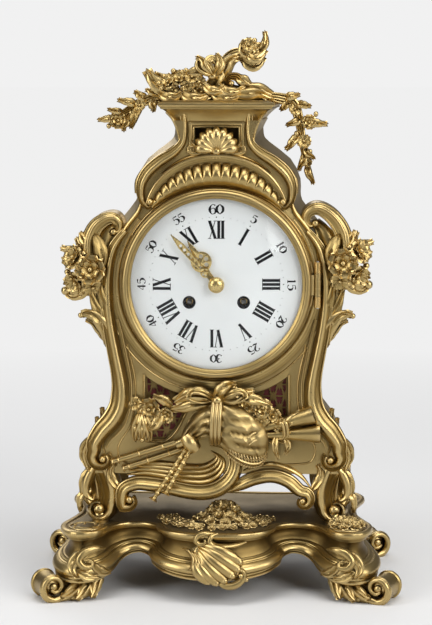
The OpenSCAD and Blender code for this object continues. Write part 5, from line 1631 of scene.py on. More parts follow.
        arch = [(10, 92.5), (20, 97), (34, 103.4), (50, 105.8), (64, 101.4), (74, 93),
                *volute(76.8, 83.6, 8.2, 2.6, 60, -200, 7)]
        c.add(bar(Moulding.WAVE, arch, (3.0, 5.6, 6.4, 6.4, 6.4, 6.2, 5.2, 3.8, 2.0),
                  (4, 6.4, 7.4, 8, 8.4, 8.6, 8, 7, 6), steps=72))
        arch = [(24, 110), (36, 114.4), (50, 116.2), (64, 112.6), (76, 105), (84, 95)]
        c.add(bar(Moulding.ROUND, arch, (0.8, 1.8, 2.2, 2.2, 1.8, 0.8), (2, 3.6, 4.4, 4.4, 3.6, 2), steps=44))
        c.add(FOUNDRY.ball((76.8, FRONT - 4, 83.4), (3.2, 4, 3.2)))
        c.add(FOUNDRY.ball((-78, FRONT - 4.4, 84), (3.6, 4.4, 3.6)))
        c.spray((([(18, 104), (19, 114), (14, 126), (9, 134)], 4.2, 4.6),
                 ([(-86, 92), (-93, 100), (-95, 110), (-90, 117)], 4.4, 3.4),
                 ([(84, 92), (91, 100), (93, 109), (90, 116)], 4.2, 3.2)))
        c.build("apron_scrolls", "front_apron")

    def build(self) -> None:
        """Builds the case."""
        self.shell()
        self.cavetto()
        self.neck_walls()
        self.mouldings()
        self.hood()
        self.neck()
        self.scrolls()
        self.apron()


@dataclass
class SideMount:
    """An ear scroll with a bunch of flowers and a leafy stem, on each side of the case."""

    middle: float = 113.0
    left_height: float = 291.0
    right_height: float = 297.0
    left_ear: Tuple[Pair, ...] = ((100, 262), (105, 276), (109.4, 290), (112, 304), (111.6, 317),
        (106.4, 328.6), (98, 335), (90.4, 336), (85.6, 331), (86.6, 325), (91, 323.6))
    right_ear: Tuple[Pair, ...] = ((100, 264), (105.4, 280), (110, 296), (112.4, 310), (111, 323),
        (105, 334), (96.6, 341.6), (88, 344.6), (80.6, 341), (78.6, 334), (82.4, 329.6), (87, 331.6))

    def ear(self, path: Line) -> Shape:
        """Curls the broad leaf that rises behind the flowers.

        Args:
            path: Its middle line.

        Returns:
            The ear.
        """
        bar = FOUNDRY.bar
        wide = (3.4, 5.6, 7.0, 7.4, 7.6, 7.6, 7.2, 6.4, 5.2, 3.8, 2.2)
        front = [(x, -46.0 - 4.0 * math.sin(math.pi * k / 11), z) for k, (x, z) in enumerate(path)]
        parts = [bar(Moulding.WAVE, front, wide, (3.0, 5.0, 6.6, 7.4, 7.6, 7.4, 7.0, 6.4, 5.6, 4.6, 3.0),
            steps=90), bar(Moulding.FLAT, [(x, -14.0, z) for x, _, z in front], [w * 0.94 for w in wide],
            [-y - 13.0 for _, y, _ in front], steps=90)]
        line = [(x + 1.6 * math.cos(0.25 * k), y - 5.6, z + 1.6 * math.sin(0.25 * k)) for k,
                (x, y, z) in enumerate(front[1:-2])]
        parts.append(bar(Moulding.ROUND, line, (0.4, 1.2, 1.4, 1.2, 0.4), (1.0, 2.4, 2.6, 2.4, 1.0),
            steps=60))
        parts.append(bar(Moulding.WAVE, [(92, -43, 256), (96.5, -44, 276), (99, -45, 296), (98, -45, 312),
            (93.6, -44, 324), (87, -42, 331)], (5, 9, 11, 11, 9, 4), (4, 5, 5.4, 5.4, 5, 3), steps=48))
        parts.append(bar(Moulding.FLAT, [(92, 256), (96.5, 276), (99, 296), (98, 312), (93.6, 324),
            (88, 331)], (4.6, 8, 10, 10, 8, 4), (27, 28.5, 29.5, 29.5, 28.5, 26), y=-16.0, steps=48))
        for x0, z0, x1, z1 in ((112, 296, 121, 311), (113, 310, 118.6, 324)):
            parts.append(FOUNDRY.leaf([(x0 - 3, -50, z0), (x1 - 1, -53, (z0 + z1) / 2), (x1, -50, z1)], 4.4,
                3.2, face=(0.3, -1, 0.2), lobes=2))
        x, z = path[-1]
        parts.append(FOUNDRY.ball((x, -48.5, z), (3.6, 4.0, 3.6)))
        parts.append(FOUNDRY.leaf([(108, -52, 322), (102.6, -56, 312), (100, -56, 300), (103, -53, 289)],
            5.4, 3.6, face=(0, -1, 0.2), lobes=3))
        return gathered(parts)

    def shape(self, z: float, path: Line) -> Shape:
        """Models the right mount.

        Args:
            z: The height of its largest flower.
            path: The middle line of its ear.

        Returns:
            The mount.
        """
        x = self.middle
        c = Casting().add(self.ear(path))
        c.posy(((x - 2, -58, z, 13.0, 4, 2, 8), (x + 13, -52, z + 10, 11.0, 18, 36, 40),
                (x + 11, -53, z - 12, 11.0, -20, 26, 70), (x - 4, -54, z - 16, 8.4, -22, -8, 55)), 9)
        for dx, y, dz, r in ((4, -56, 14, 2.8), (-12, -56, 9, 2.6), (4, -57, -13, 2.6), (19, -48, -3, 3.0),
                (21, -46, -20, 4.2)):
            c.add(FOUNDRY.ball((x + dx, y, z + dz), r))
        c.spray((([(x - 2, -50, z - 8), (x + 6, -48, z - 20), (x + 14, -45, z - 25), (x + 20, -42, z - 22)],
                  6.2, 3.2), ([(x - 4, -50, z + 10), (x - 5, -51, z + 21), (x - 1, -48, z + 31)], 5.6, 3.2),
                 ([(x - 1, -50, z + 12), (x + 6, -49, z + 20), (x + 10, -46, z + 28)], 5.6, 3.2),
                 ([(x + 8, -48, z + 12), (x + 18, -45, z + 16), (x + 25, -41, z + 18)], 4.8, 3.2),
                 ([(x - 8, -51, z - 2), (x - 15, -52, z + 3), (x - 19, -50, z + 10)], 5.0, 3.2),
                 ([(x - 6, -51, z - 12), (x - 12, -52, z - 20), (x - 12, -50, z - 30)], 5.2, 3.2)),
                (0.3, -1, 0.1))
        stem = [(97, -47, 221), (100, -49, 238), (104, -50, 256), (x - 5, -50, z - 14)]
        c.add(FOUNDRY.rod(stem, (1.2, 2.4, 2.8, 2.4)))
        c.spray((
            ([(97, -47, 222), (98, -51, 235), (104, -53, 246), (112, -51, 252), (120, -49, 250)], 6.0, 3.6),
            ([(99, -46, 232), (102, -51, 247), (108, -52, 262), (110, -50, 274)], 5.4, 3.6),
            ([(98, -46, 226), (106, -48, 240), (116, -46, 246)], 4.4, 3.6),
            ([(100, -48, 244), (98, -53, 257), (101, -55, 268), (100, -54, 278)], 5.0, 3.6)), (0.4, -1, 0.15))
        c.add(FOUNDRY.ball((120.4, -50, 249.6), 2.6))
        return gathered(c.shapes)

    def build(self) -> None:
        """Casts both mounts."""
        Casting().add(self.shape(self.right_height, self.right_ear)).build("right_mount", "right_side_mount")
        Casting().add(self.shape(self.left_height, self.left_ear).mirrored()).build(
            "left_mount", "left_side_mount")


@dataclass
class Trophy:
    """A bagpipe tied with a bow, horns, flowers and leaves under the dial."""

    bag_path: Tuple[Triple, ...] = ((-27, -54, 137), (-20, -56, 147), (-9, -58, 155), (5, -59, 156),
        (17, -59, 149), (27, -58, 139), (34, -56, 129), (38, -54, 121))
    bag_widths: Values = (6, 9.6, 14.0, 17.0, 20, 20.8, 17.6, 7)
    bag_depths: Values = (5, 8.6, 11.0, 11.6, 12.8, 12.4, 9.6, 4.4)
    folds: Tuple[Tuple[Triple, Triple, float], ...] = (
        ((5, 27, 44), (150.5, 145.4, 149.0), 3.2), ((5, 20, 38), (160.5, 158.5, 158.0), 1.8),
        ((9, 27, 46), (140.0, 134.0, 131.0), 2.6), ((-26, -12, -3), (147, 153.5, 152.5), 2.2))
    horn_ends: Tuple[Tuple[Triple, Triple], ...] = (((40, -57, 149), (86, -60, 163)),
        ((44, -57, 143.6), (92, -60, 146)))
    horn_profile: Tuple[Pair, ...] = ((0.0, 2.6), (0.04, 3.2), (0.08, 2.9), (0.3, 4.0), (0.6, 5.8),
        (0.85, 7.6), (0.95, 8.4), (1.0, 8.6), (1.01, 8.0), (0.98, 7.2), (0.8, 6.2), (0.5, 4.0), (0.45, 0.4))
    blooms: Tuple[Values, ...] = (
        (-60, -56, 166, 10, 6, -6, 12), (41, -57, 168, 8.6, 12, 6, 30), (50, -56, 160, 7.6, 2, 12, 66),
        (14, -59, 180, 8, 16, 4, 20), (-45, -57, 161, 7, -6, -8, 40), (26, -58, 172, 7, 12, 0, 10),
        (33, -58, 162, 6.4, 0, 6, 50), (-72, -54, 171, 6, 12, -20, 5), (58, -58, 152, 7.4, -4, 14, 18),
        (62, -57, 143, 5.6, -24, 12, 44), (40, -60, 157, 5.6, -8, 0, 25))
    leaves: Tuple[Tuple[Line, float, float], ...] = (
        ([(-2, -56, 176), (-14, -61, 181), (-26, -60, 180), (-37, -55, 173)], 6.4, 4.2),
        ([(-4, -57, 172), (-18, -60, 172), (-30, -58, 168), (-42, -54, 166)], 5.2, 3.6),
        ([(0, -58, 177), (4, -63, 185), (11, -62, 190), (17, -57, 189)], 5.0, 3.4),
        ([(3, -58, 176), (14, -62, 177), (24, -60, 182), (33, -56, 183)], 5.2, 3.6),
        ([(22, -57, 176), (34, -60, 176), (46, -57, 171)], 5.0, 3.2),
        ([(-40, -55, 170), (-48, -59, 176), (-56, -57, 178)], 4.4, 3.0),
        ([(-48, -55, 163), (-54, -60, 153), (-61, -58, 148)], 4.8, 3.2),
        ([(60, -58, 150), (66, -62, 158), (75, -60, 166)], 4.0, 2.8),
        ([(54, -56, 146), (52, -60, 134), (55, -57, 122)], 3.0, 2.4),
        ([(60, -56, 144), (64, -59, 134), (61, -56, 126)], 2.8, 2.2))

    def bag(self) -> None:
        """Casts the bag with its ribbon bands and its hem."""
        c = Casting().add(self.skin())
        for k in range(3):
            x = -3.4 + 3.3 * k
            c.add(FOUNDRY.rod([(x + 1.5, -58, 178), (x + 0.8, -66, 173), (x, -70.8, 163),
                (x - 0.4, -71.6, 154), (x - 0.6, -69.6, 145), (x - 0.6, -63, 137.6), (x - 0.6, -56, 135)],
                (1.5, 1.9, 1.9, 1.9, 1.7, 1.4)))
        self.hem(c)
        for path in ([(41, -57, 146), (34, -64, 147), (28, -69, 143)], [(43, -57, 141), (36, -65, 141),
                (29, -69.6, 137)]):
            c.add(FOUNDRY.rod(path, (1.5, 1.7, 0.6)))
        c.build("bagpipe_bag", "trophy_bag", finish=Finish.SATIN)

    def skin(self) -> Shape:
        """Swells the bag and pinches its folds in.

        Returns:
            The bag without its ribbons.
        """
        made = FOUNDRY.bar(Moulding.EGG, self.bag_path, self.bag_widths, self.bag_depths, steps=108)
        x, z = made.points[:, 0], made.points[:, 2]
        pinch = np.exp(-(((x + 2) / 11.0) ** 2)) + 0.9 * np.exp(-(((x + 22) / 9.0) ** 2)) + 0.4 * np.exp(
            -(((x - 32) / 9.0) ** 2))
        angle = np.arctan2(z - np.interp(x, (-27, -9, 5, 17, 38), (137, 155, 156, 149, 121)),
            -55 - made.points[:, 1])
        fold = 0.5 + 0.5 * np.cos(11 * angle + 0.18 * x)
        inward = np.array((0.0, 1.0, 0.0)) * (pinch * (0.6 + 3.4 * (1 - fold)))[:, None]
        for xs, zs, deep in self.folds:
            near = np.exp(-(((z - np.interp(x, xs, zs)) / 2.5) ** 2))
            near *= np.clip((x - xs[0]) / 9, 0, 1) * np.clip((xs[2] - x) / 9, 0, 1)
            pinch, fold = np.maximum(pinch, near), fold * (1 - near)
            inward[:, 1] += deep * near
        front = np.clip((-55 - made.points[:, 1]) / 6, 0, 1)[:, None]
        # Painted shade: the relief drops in the pinched folds, so the gilding darkens them.
        return Shape(made.points + inward * front, made.faces,
                     np.clip(0.85 - 0.75 * pinch * (1 - fold), 0, 1))

    def hem(self, c: Casting) -> None:
        """Hems the bag with a ribbon, a fringe and two rows of beads.

        Args:
            c: The bag's casting.
        """
        bar, rod = FOUNDRY.bar, FOUNDRY.rod
        hem = [(10, -62, 131), (17, -65, 125.4), (25, -64.6, 121), (33, -61, 118.6), (40, -57, 119.6),
               (44.6, -55, 125)]
        c.add(bar(Moulding.ROUND, hem, (1.0, 1.6, 1.7, 1.6, 1.0), (2.4,), steps=36))
        fringe = [(x - 0.8, y - 0.6, z - 3.0) for x, y, z in hem]
        c.add(FOUNDRY.beads(fringe, 1.5, 19))
        for k in range(15):
            t = (k + 0.5) / 15 * (len(hem) - 1)
            i = min(int(t), len(hem) - 2)
            x, y, z = (np.array(hem[i]) + (np.array(hem[i + 1]) - np.array(hem[i])) * (t - i)).tolist()
            c.add(rod([(x - 1.6, y - 1.0, z + 7.0), (x - 0.8, y - 2.2, z + 3.4), (x, y - 1.2, z + 0.6)],
                      (0.5, 0.9, 0.7), steps=4))
        inner = [(x + 0.4, y - 2.4, z + 3.6) for x, y, z in hem]
        c.add(FOUNDRY.beads(inner, 0.9, 22))

    def pipes(self) -> None:
        """Turns the two long pipes, the stock and the two ringed chanters."""
        rod, ball = FOUNDRY.rod, FOUNDRY.ball
        c = Casting()
        for a, b, r0, r1 in (((-28, -56, 139), (-94, -54, 118), 3.1, 2.3),
                ((-24, -55, 132), (-84, -53.6, 112), 2.9, 2.1)):
            a, b = np.array(a, float), np.array(b, float)
            c.add(rod([a, (a + b) / 2, b], (r0, (r0 + r1) / 2, r1), steps=12))
            for t in (0.02, 0.3, 0.62, 0.9, 0.98):
                c.add(rod([a + (b - a) * (t - 0.012), a + (b - a) * t, a + (b - a) * (t + 0.012)],
                          (r0 * 1.0, r0 * 1.2, r0 * 1.0), steps=4))
        for a, b in (((-24, -60, 136), (-56, -64, 86)), ((-20, -61, 136), (-45, -66, 92))):
            a, b = np.array(a, float), np.array(b, float)
            widths = []
            count = 66
            for k in range(count + 1):
                t = k / count
                knot = 0.5 + 0.5 * math.cos(math.tau * t * 8)
                flare = 1.9 * max(0.0, (t - 0.93) / 0.07) ** 2
                widths.append(1.7 + 1.5 * knot**3 * (1 - 0.25 * t) + flare)
            c.add(rod([a, (a + b) / 2, b], widths, steps=count))
            for k in range(10):
                c.add(ball(a + (b - a) * (0.18 + 0.075 * k) + (0.9, -2.0, 0.6), 0.62, 1))
        c.add(ball((-23, -57.6, 136.6), (6.4, 6.2, 6.8)))
        c.add(rod([(-27, -58, 142), (-23, -60, 137), (-19, -58, 131)], (6.2, 7.2, 6.2), steps=8))
        c.add(rod([(-30, -57, 137), (-36, -58, 134.6)], (5.0, 3.8), steps=4))
        c.build("bagpipe_pipes", "trophy_pipes")

    def horns(self) -> None:
        """Opens the two hollow horns to the right and ties them."""
        c = Casting()
        for a, b in self.horn_ends:
            a, b = np.array(a, float), np.array(b, float)
            way = (b - a) / np.linalg.norm(b - a)
            side = np.cross(way, (0, 0, 1.0))
            side /= np.linalg.norm(side)
            up = np.cross(side, way)
            rings = []
            for t, r in self.horn_profile:
                turn = np.linspace(0, math.tau, 28, endpoint=False)
                rings.append(a + (b - a) * t + r * (np.outer(np.cos(turn), side)
                    + np.outer(np.sin(turn), up)))
            # Painted shade: the last rings roll into the mouth and their relief falls to nothing, so the
            # inside of each horn is painted dark.
            relief = (EVEN,) * 8 + (0.8, 0.3, 0.05, 0.0, 0.0)
            c.add(FOUNDRY.drawn(rings, relief))
        for path in ([(50, -56, 152), (58, -66, 156), (60, -62, 143), (52, -57, 140)],
                     [(53, -56, 153), (61, -66, 157), (63, -62, 143.6), (55, -57, 140)]):
            c.add(FOUNDRY.rod(path, (1.2, 1.6, 1.4, 1.0)))
        c.build("horns", "trophy_horns")

    def flowers(self) -> None:
        """Gathers the bow, the leaves, the flowers and the hanging bell flower."""
        bar, leaf, ball = FOUNDRY.bar, FOUNDRY.leaf, FOUNDRY.ball
        c = Casting()
        c.posy(self.blooms, 6.5)
        c.spray(self.leaves, (0.1, -1, 0.2), 4)
        for s, x in ((-1, -4), (1, 6)):
            loop = [(x, -60, 176), (x + s * 8, -66, 183), (x + s * 17, -66, 184), (x + s * 19, -63, 178),
                    (x + s * 10, -62, 174), (x, -60, 174)]
            c.add(bar(Moulding.SCROLL, loop, (1.6, 3.2, 3.8, 3.2, 2.4, 1.4), (1.6,), face=(0, -0.6, 0.8),
                      steps=36))
        c.add(ball((1, -65, 176), (4.2, 3.4, 3.8)))
        for dx, w in ((-5, 4.4), (0, 5.0), (5, 4.4)):
            c.add(leaf([(-66, -54, 164), (-66 + dx * 0.8, -58.6, 155), (-66 + dx * 1.3, -58, 146),
                        (-66 + dx, -54, 138)], w, 3.6, face=(0.06 * dx, -1, 0), lobes=3))
        c.add(ball((-66, -57, 138.6), 2.2), ball((-66, -56, 165), 3.0))
        c.add(FOUNDRY.beads([(-24, -54, 178), (-14, -55, 176.6), (-6, -57, 178)], 1.8, 5))
        c.build("trophy_bow", "trophy_flowers")

    def build(self) -> None:
        """Builds the whole trophy."""
        self.bag()
        self.pipes()
        self.horns()
        self.flowers()


@dataclass
class Crest:
    """The bouquet and curling branch on the cornice, with a garland hanging at each side."""

    left_stem: Tuple[Triple, ...] = ((-40, -36, 443), (-51, -38, 441.6), (-62, -38, 438.6), (-74, -38, 433),
        (-86, -38, 426), (-95, -37, 421.6))
    right_stem: Tuple[Triple, ...] = ((42, -36, 443), (55, -38, 441), (66, -38, 437), (71, -38, 427),
        (74, -38, 412), (76.4, -38, 396), (79.6, -38, 382), (83, -37, 371))
    branch: Tuple[Pair, ...] = ((-8, 444), (0, 454), (6, 465), (11, 474), (18, 478.4), (25, 476.6),
        (31, 476.4), (36, 482))
    leaves: Tuple[Tuple[Line, float, float], ...] = (
        ([(35, -33, 480), (40, -35, 484), (42.6, -34, 491), (41.6, -31, 499)], 3.8, 4.0),
        ([(30, -33, 475), (24, -37, 480), (22, -37, 486), (25, -35, 491)], 4.6, 3.4),
        ([(22, -35, 474), (30, -38, 468.6), (37, -37, 470.6), (41, -34, 477)], 5.4, 3.4),
        ([(26, -36, 478), (33, -40, 475), (39, -38, 477.6), (43, -35, 483)], 4.6, 3.2),
        ([(2, -36, 458), (6, -42, 467), (11, -42, 474), (19, -38, 476)], 5.8, 4.0),
        ([(-2, -36, 450), (2, -41, 459), (2, -41, 467), (6, -38, 474)], 5.4, 3.6),
        ([(-38, -33, 444), (-47, -39, 449), (-56, -41, 456), (-62, -37, 465)], 7.8, 5.0),
        ([(-34, -34, 448), (-43, -38, 454), (-50, -38, 459), (-56, -35, 461)], 5.6, 3.6),
        ([(-22, -35, 450), (-26, -40, 457), (-33, -39, 464)], 5.2, 3.4),
        ([(20, -38, 447), (32, -42, 448.6), (44, -40, 445), (55, -36, 438)], 6.4, 4.0),
        ([(12, -42, 446), (24, -47, 444), (36, -46, 445), (47, -41, 440)], 5.4, 3.8),
        ([(-6, -43, 445), (4, -48, 441), (14, -48, 441), (24, -44, 446)], 5.2, 3.8),
        ([(-32, -42, 445), (-24, -48, 441), (-14, -48, 440.6), (-5, -44, 444)], 5.2, 3.8),
        ([(-51, -39, 445), (-44, -45, 442), (-36, -46, 441.6), (-29, -43, 446)], 5.2, 3.6),
        ([(2, -42, 452), (8, -47, 447), (17, -47, 446), (25, -43, 450)], 4.6, 3.4),
        ([(-12, -42, 453), (-6, -47, 448), (2, -47, 447), (8, -44, 451)], 4.6, 3.4),
        ([(16, -38, 458), (24, -42, 456), (31, -40, 450)], 5.0, 3.4),
        ([(-12, -38, 462), (-20, -42, 463.6), (-28, -39, 461)], 4.6, 3.2),
        ([(-3, -42, 461), (-9, -46, 468), (-13, -45, 474), (-18, -42, 476)], 4.0, 3.2),
        ([(-1, -42, 461), (3, -46, 468), (3, -45, 474), (-1, -42, 479)], 4.2, 3.2))
    blooms: Tuple[Values, ...] = (
        (-43, -42, 455, 7.4, 20, -16, 10), (-33, -43, 458, 7.4, 26, -4, 40), (-22, -43, 459, 6.2, 30, 4, 70),
        (28, -37, 487, 6.6, 26, 0, 30), (36, -36, 484, 5.6, 10, 24, 60), (32, -38, 480, 5.2, -6, 10, 15),
        (-39, -42, 448, 5.4, 0, -10, 25), (-26, -43, 452, 6.0, 10, 0, 45), (-15, -42, 455, 5.4, 14, 6, 75),
        (-17, -43, 449, 5.0, 0, 6, 20))
    buds: Tuple[Pair, ...] = ((-49, 449), (-45, 445.6), (-30, 450.4), (-51, 454), (-16, 455), (-27, 465),
        (-38, 464.6), (33, 491))
    curls: Tuple[Values, ...] = ((-20, 447, 9.4, 200), (13, 453.6, 9.4, -20), (30, 447.4, 5.4, 160))
    loops: Tuple[Tuple[Line, float], ...] = (
        ([(-3, -41, 461), (-9, -45, 463), (-15, -45, 467), (-15, -43, 471.6), (-9, -42, 469),
          (-3, -41, 463)], 3.6),
        ([(-3, -42, 460), (-5, -46, 466), (-8, -46, 472), (-4, -44, 475), (0, -43, 470),
          (0, -42, 463)], 3.4))

    def bouquet(self) -> None:
        """Gathers the flowers, the bow, the rolled leaves and the branch."""
        bar, ball = FOUNDRY.bar, FOUNDRY.ball
        c = Casting()
        for depth, face, wide in ((9, (0, -1, 0.25), 0.0), (7, (0, 1, 0), -0.4)):
            c.add(bar(Moulding.WAVE if face[1] < 0 else Moulding.ROUND, [(x, -29, z) for x, z in self.branch],
                      tuple(w + wide for w in (8.0, 8.0, 7.6, 7.0, 6.4, 5.6, 4.4, 2.4)),
                      (depth, depth, depth, depth * 0.9, depth * 0.8, depth * 0.7, depth * 0.5), face=face,
                      steps=56))
        c.spray(self.leaves, (0.1, -1, 0.35))
        c.posy(self.blooms, 7)
        for x, z in self.buds:
            c.add(ball((x, -43, z), 2.4, 2))
        for x, z, r, turn in self.curls:
            coil = [(x + (r - 1.9 * t) * math.cos(math.radians(turn + 62 * t)), -38.0 - 0.8 * t,
                     z + (r - 1.9 * t) * math.sin(math.radians(turn + 62 * t)))
                    for t in np.linspace(0, 4.6, 14)]
            c.add(bar(Moulding.RIBS, coil, (2.6, 4.2, 4.0, 3.2, 2.2, 1.2), (4.6, 5.4, 5.4, 5, 4), steps=56))
            c.add(ball((x, -42, z), 2.6))
        for loop, w in self.loops:
            c.add(bar(Moulding.SCROLL, loop, (1.8, w, w * 1.1, w, w * 0.8, 1.6), (2.6,),
                      face=(0.2, -0.8, 0.5), steps=40))
        c.add(ball((-4, -42.6, 460), (4.0, 3.4, 3.8)))
        c.add(bar(Moulding.WAVE, [(-50, -33, 444), (-26, -37, 443.6), (0, -38, 443.6), (28, -37, 444),
            (56, -33, 440)], (3.4, 4.8, 5.0, 4.8, 3.0), (3, 3.6, 3.8, 3.6, 3), steps=48))
        c.add(bar(Moulding.ROUND, [(-50, -34, 444), (-26, -35, 444), (0, -36, 446), (26, -35, 444),
            (56, -34, 440)], (4.0, 6.4, 8.0, 6.0, 3.4), (10, 12, 12, 12, 9), face=(0, 1, 0), steps=24))
        c.build("crest_bouquet", "crest")

    def garland(self, side: str, stem: Line, leaves: Sequence[Tuple[Pair, Pair, float]],
                flowers: Sequence[Triple], buds: Sequence[Triple]) -> None:
        """Strings leaves, flowers and buds along a hanging stem.

        Args:
            side: Left or right.
            stem: Points of the stem.
            leaves: The root, the tip and the half width of each leaf.
            flowers: The place and the radius of each flower.
            buds: The place and the radius of each bud.
        """
        c = Casting()
        c.add(FOUNDRY.rod(stem, (4.0, 4.4, 3.6, 2.8, 2.2, 1.4), steps=56))
        c.add(FOUNDRY.bar(Moulding.RIBS, [(x, y - 1.4, z) for x, y, z in stem],
            (3.6, 5.2, 4.4, 3.4, 2.6, 1.2), (3.4, 3.6, 3, 2.6), steps=56))
        for k, ((x0, z0), (x1, z1), w) in enumerate(leaves):
            sag = 2.0 if k % 2 else -1.6
            y = -40.0 - 1.2 * (k % 3)
            c.add(FOUNDRY.leaf([(x0, -37.0, z0), (x0 * 0.55 + x1 * 0.45 + sag, y - 2.6, z0 * 0.5 + z1 * 0.5),
                (x1 - 0.25 * (x1 - x0), y - 1.6, z1 - 0.22 * (z1 - z0)), (x1, y + 1.6, z1)], w, 3.0,
                face=(0.1, -1, 0.3), lobes=4))
        for k, (x, z, r) in enumerate(flowers):
            c.add(FOUNDRY.flower((x, -42.4, z), r, up=6.0 + 8 * (k % 3), side=8.0 - 10 * (k % 2),
                spin=47.0 * k, double=r > 6.5))
        for x, z, r in buds:
            c.add(FOUNDRY.ball((x, -41.4, z), (r, r, r * 1.2)))
        c.build("garland_" + side, side + "_garland")

    def build(self) -> None:
        """Builds the crest and both garlands."""
        self.bouquet()
        self.garland("left", self.left_stem, (((-60, 439), (-72, 446), 4.2), ((-70, 435), (-86.6, 439), 4.0),
            ((-66, 437), (-76, 415), 4.2), ((-90, 424), (-104, 421.4), 3.6), ((-54, 442), (-56, 430), 3.8),
            ((-84, 428), (-95, 430.6), 3.2), ((-50, 444), (-62, 447.6), 3.6),
            ((-80, 428), (-82, 412.6), 3.4)), ((-87, 421.4, 7.6), (-68, 434.6, 5.4)),
            ((-75, 428, 2.6), (-58, 434, 2.4), (-95, 416.6, 2.2), (-78, 436.4, 2.2)))
        self.garland(
            "right", self.right_stem,
            (((60, 441), (72, 443.6), 4.0), ((68, 436), (82, 433.6), 4.0), ((66, 438), (56.4, 431), 3.8),
             ((75, 420), (97, 418), 4.4), ((74, 410), (61, 396), 4.0), ((77, 396), (72.4, 378), 3.4),
             ((80, 384), (84.6, 366), 3.4), ((73, 424), (62, 417), 3.6), ((77, 398), (85, 388), 3.2)),
            ((81, 420, 6.6), (76.6, 403, 6.4), (68.6, 431, 5.4), (79.6, 385, 4.4)),
            ((70, 410, 2.2), (82, 394, 2.2), (87, 427, 2.2), (76, 388, 2.0)))


# Each stroke of a minute figure one high: its line and its half widths
FIGURES: Dict[str, Tuple[Tuple[List[Pair], Values], ...]] = {"0": (([(0, 0.5), (-0.3, 0.2), (-0.32, 0),
    (-0.3, -0.2), (0, -0.5)], (0.03, 0.09, 0.12, 0.09, 0.03)),
    ([(0, -0.5), (0.3, -0.2), (0.32, 0), (0.3, 0.2), (0, 0.5)], (0.03, 0.09, 0.12, 0.09, 0.03))),
    "1": (([(0, 0.5), (0, 0), (0, -0.5)], (0.09, 0.09, 0.09)), ([(-0.18, 0.36), (-0.08, 0.42), (0, 0.48)],
    (0.03,)), ([(0.2, -0.48), (0, -0.48), (-0.2, -0.48)], (0.03,))),
    "2": (([(-0.28, 0.24), (-0.14, 0.46), (0.12, 0.47), (0.28, 0.24), (0.12, -0.06), (-0.14, -0.3),
    (-0.3, -0.46)], (0.07, 0.03, 0.05, 0.11, 0.1, 0.04, 0.03)),
    ([(0.32, -0.4), (0.1, -0.44), (-0.1, -0.4), (-0.3, -0.46)], (0.03, 0.08, 0.08, 0.03))),
    "3": (([(-0.26, 0.34), (-0.08, 0.48), (0.16, 0.44), (0.24, 0.24), (0.08, 0.05), (-0.06, 0.02)],
    (0.05, 0.03, 0.08, 0.09, 0.04, 0.03)), ([(-0.06, 0.02), (0.16, 0), (0.3, -0.2), (0.16, -0.45),
    (-0.1, -0.48), (-0.28, -0.32)], (0.03, 0.05, 0.11, 0.09, 0.03, 0.07))),
    "4": (([(0.1, -0.5), (0.1, 0), (0.1, 0.5)], (0.09, 0.09, 0.08)),
    ([(0.1, 0.48), (-0.14, 0.12), (-0.34, -0.2)], (0.03,)), ([(0.34, -0.2), (0, -0.2), (-0.34, -0.2)],
    (0.03,))), "5": (([(0.26, 0.47), (0, 0.47), (-0.22, 0.47)], (0.07, 0.06, 0.03)),
    ([(-0.22, 0.47), (-0.24, 0.28), (-0.24, 0.1)], (0.03,)),
    ([(-0.24, 0.1), (0, 0.18), (0.26, 0.02), (0.28, -0.22), (0.08, -0.46), (-0.14, -0.48), (-0.28, -0.34)],
    (0.03, 0.04, 0.1, 0.12, 0.05, 0.03, 0.08))),
    "6": (([(0.24, 0.36), (0.08, 0.49), (-0.16, 0.4), (-0.3, 0.12), (-0.31, -0.16), (-0.16, -0.44),
    (0, -0.5)], (0.06, 0.03, 0.05, 0.11, 0.12, 0.06, 0.03)),
    ([(0, -0.5), (0.22, -0.38), (0.28, -0.16), (0.16, 0.06), (-0.04, 0.1), (-0.24, -0.06)],
    (0.03, 0.07, 0.1, 0.05, 0.03, 0.03)))}
HOURS = ("XII", "I", "II", "III", "IIII", "V", "VI", "VII", "VIII", "IX", "X", "XI")
SIGN_WIDTHS = {"I": 3.5, "V": 8.0, "X": 7.6}


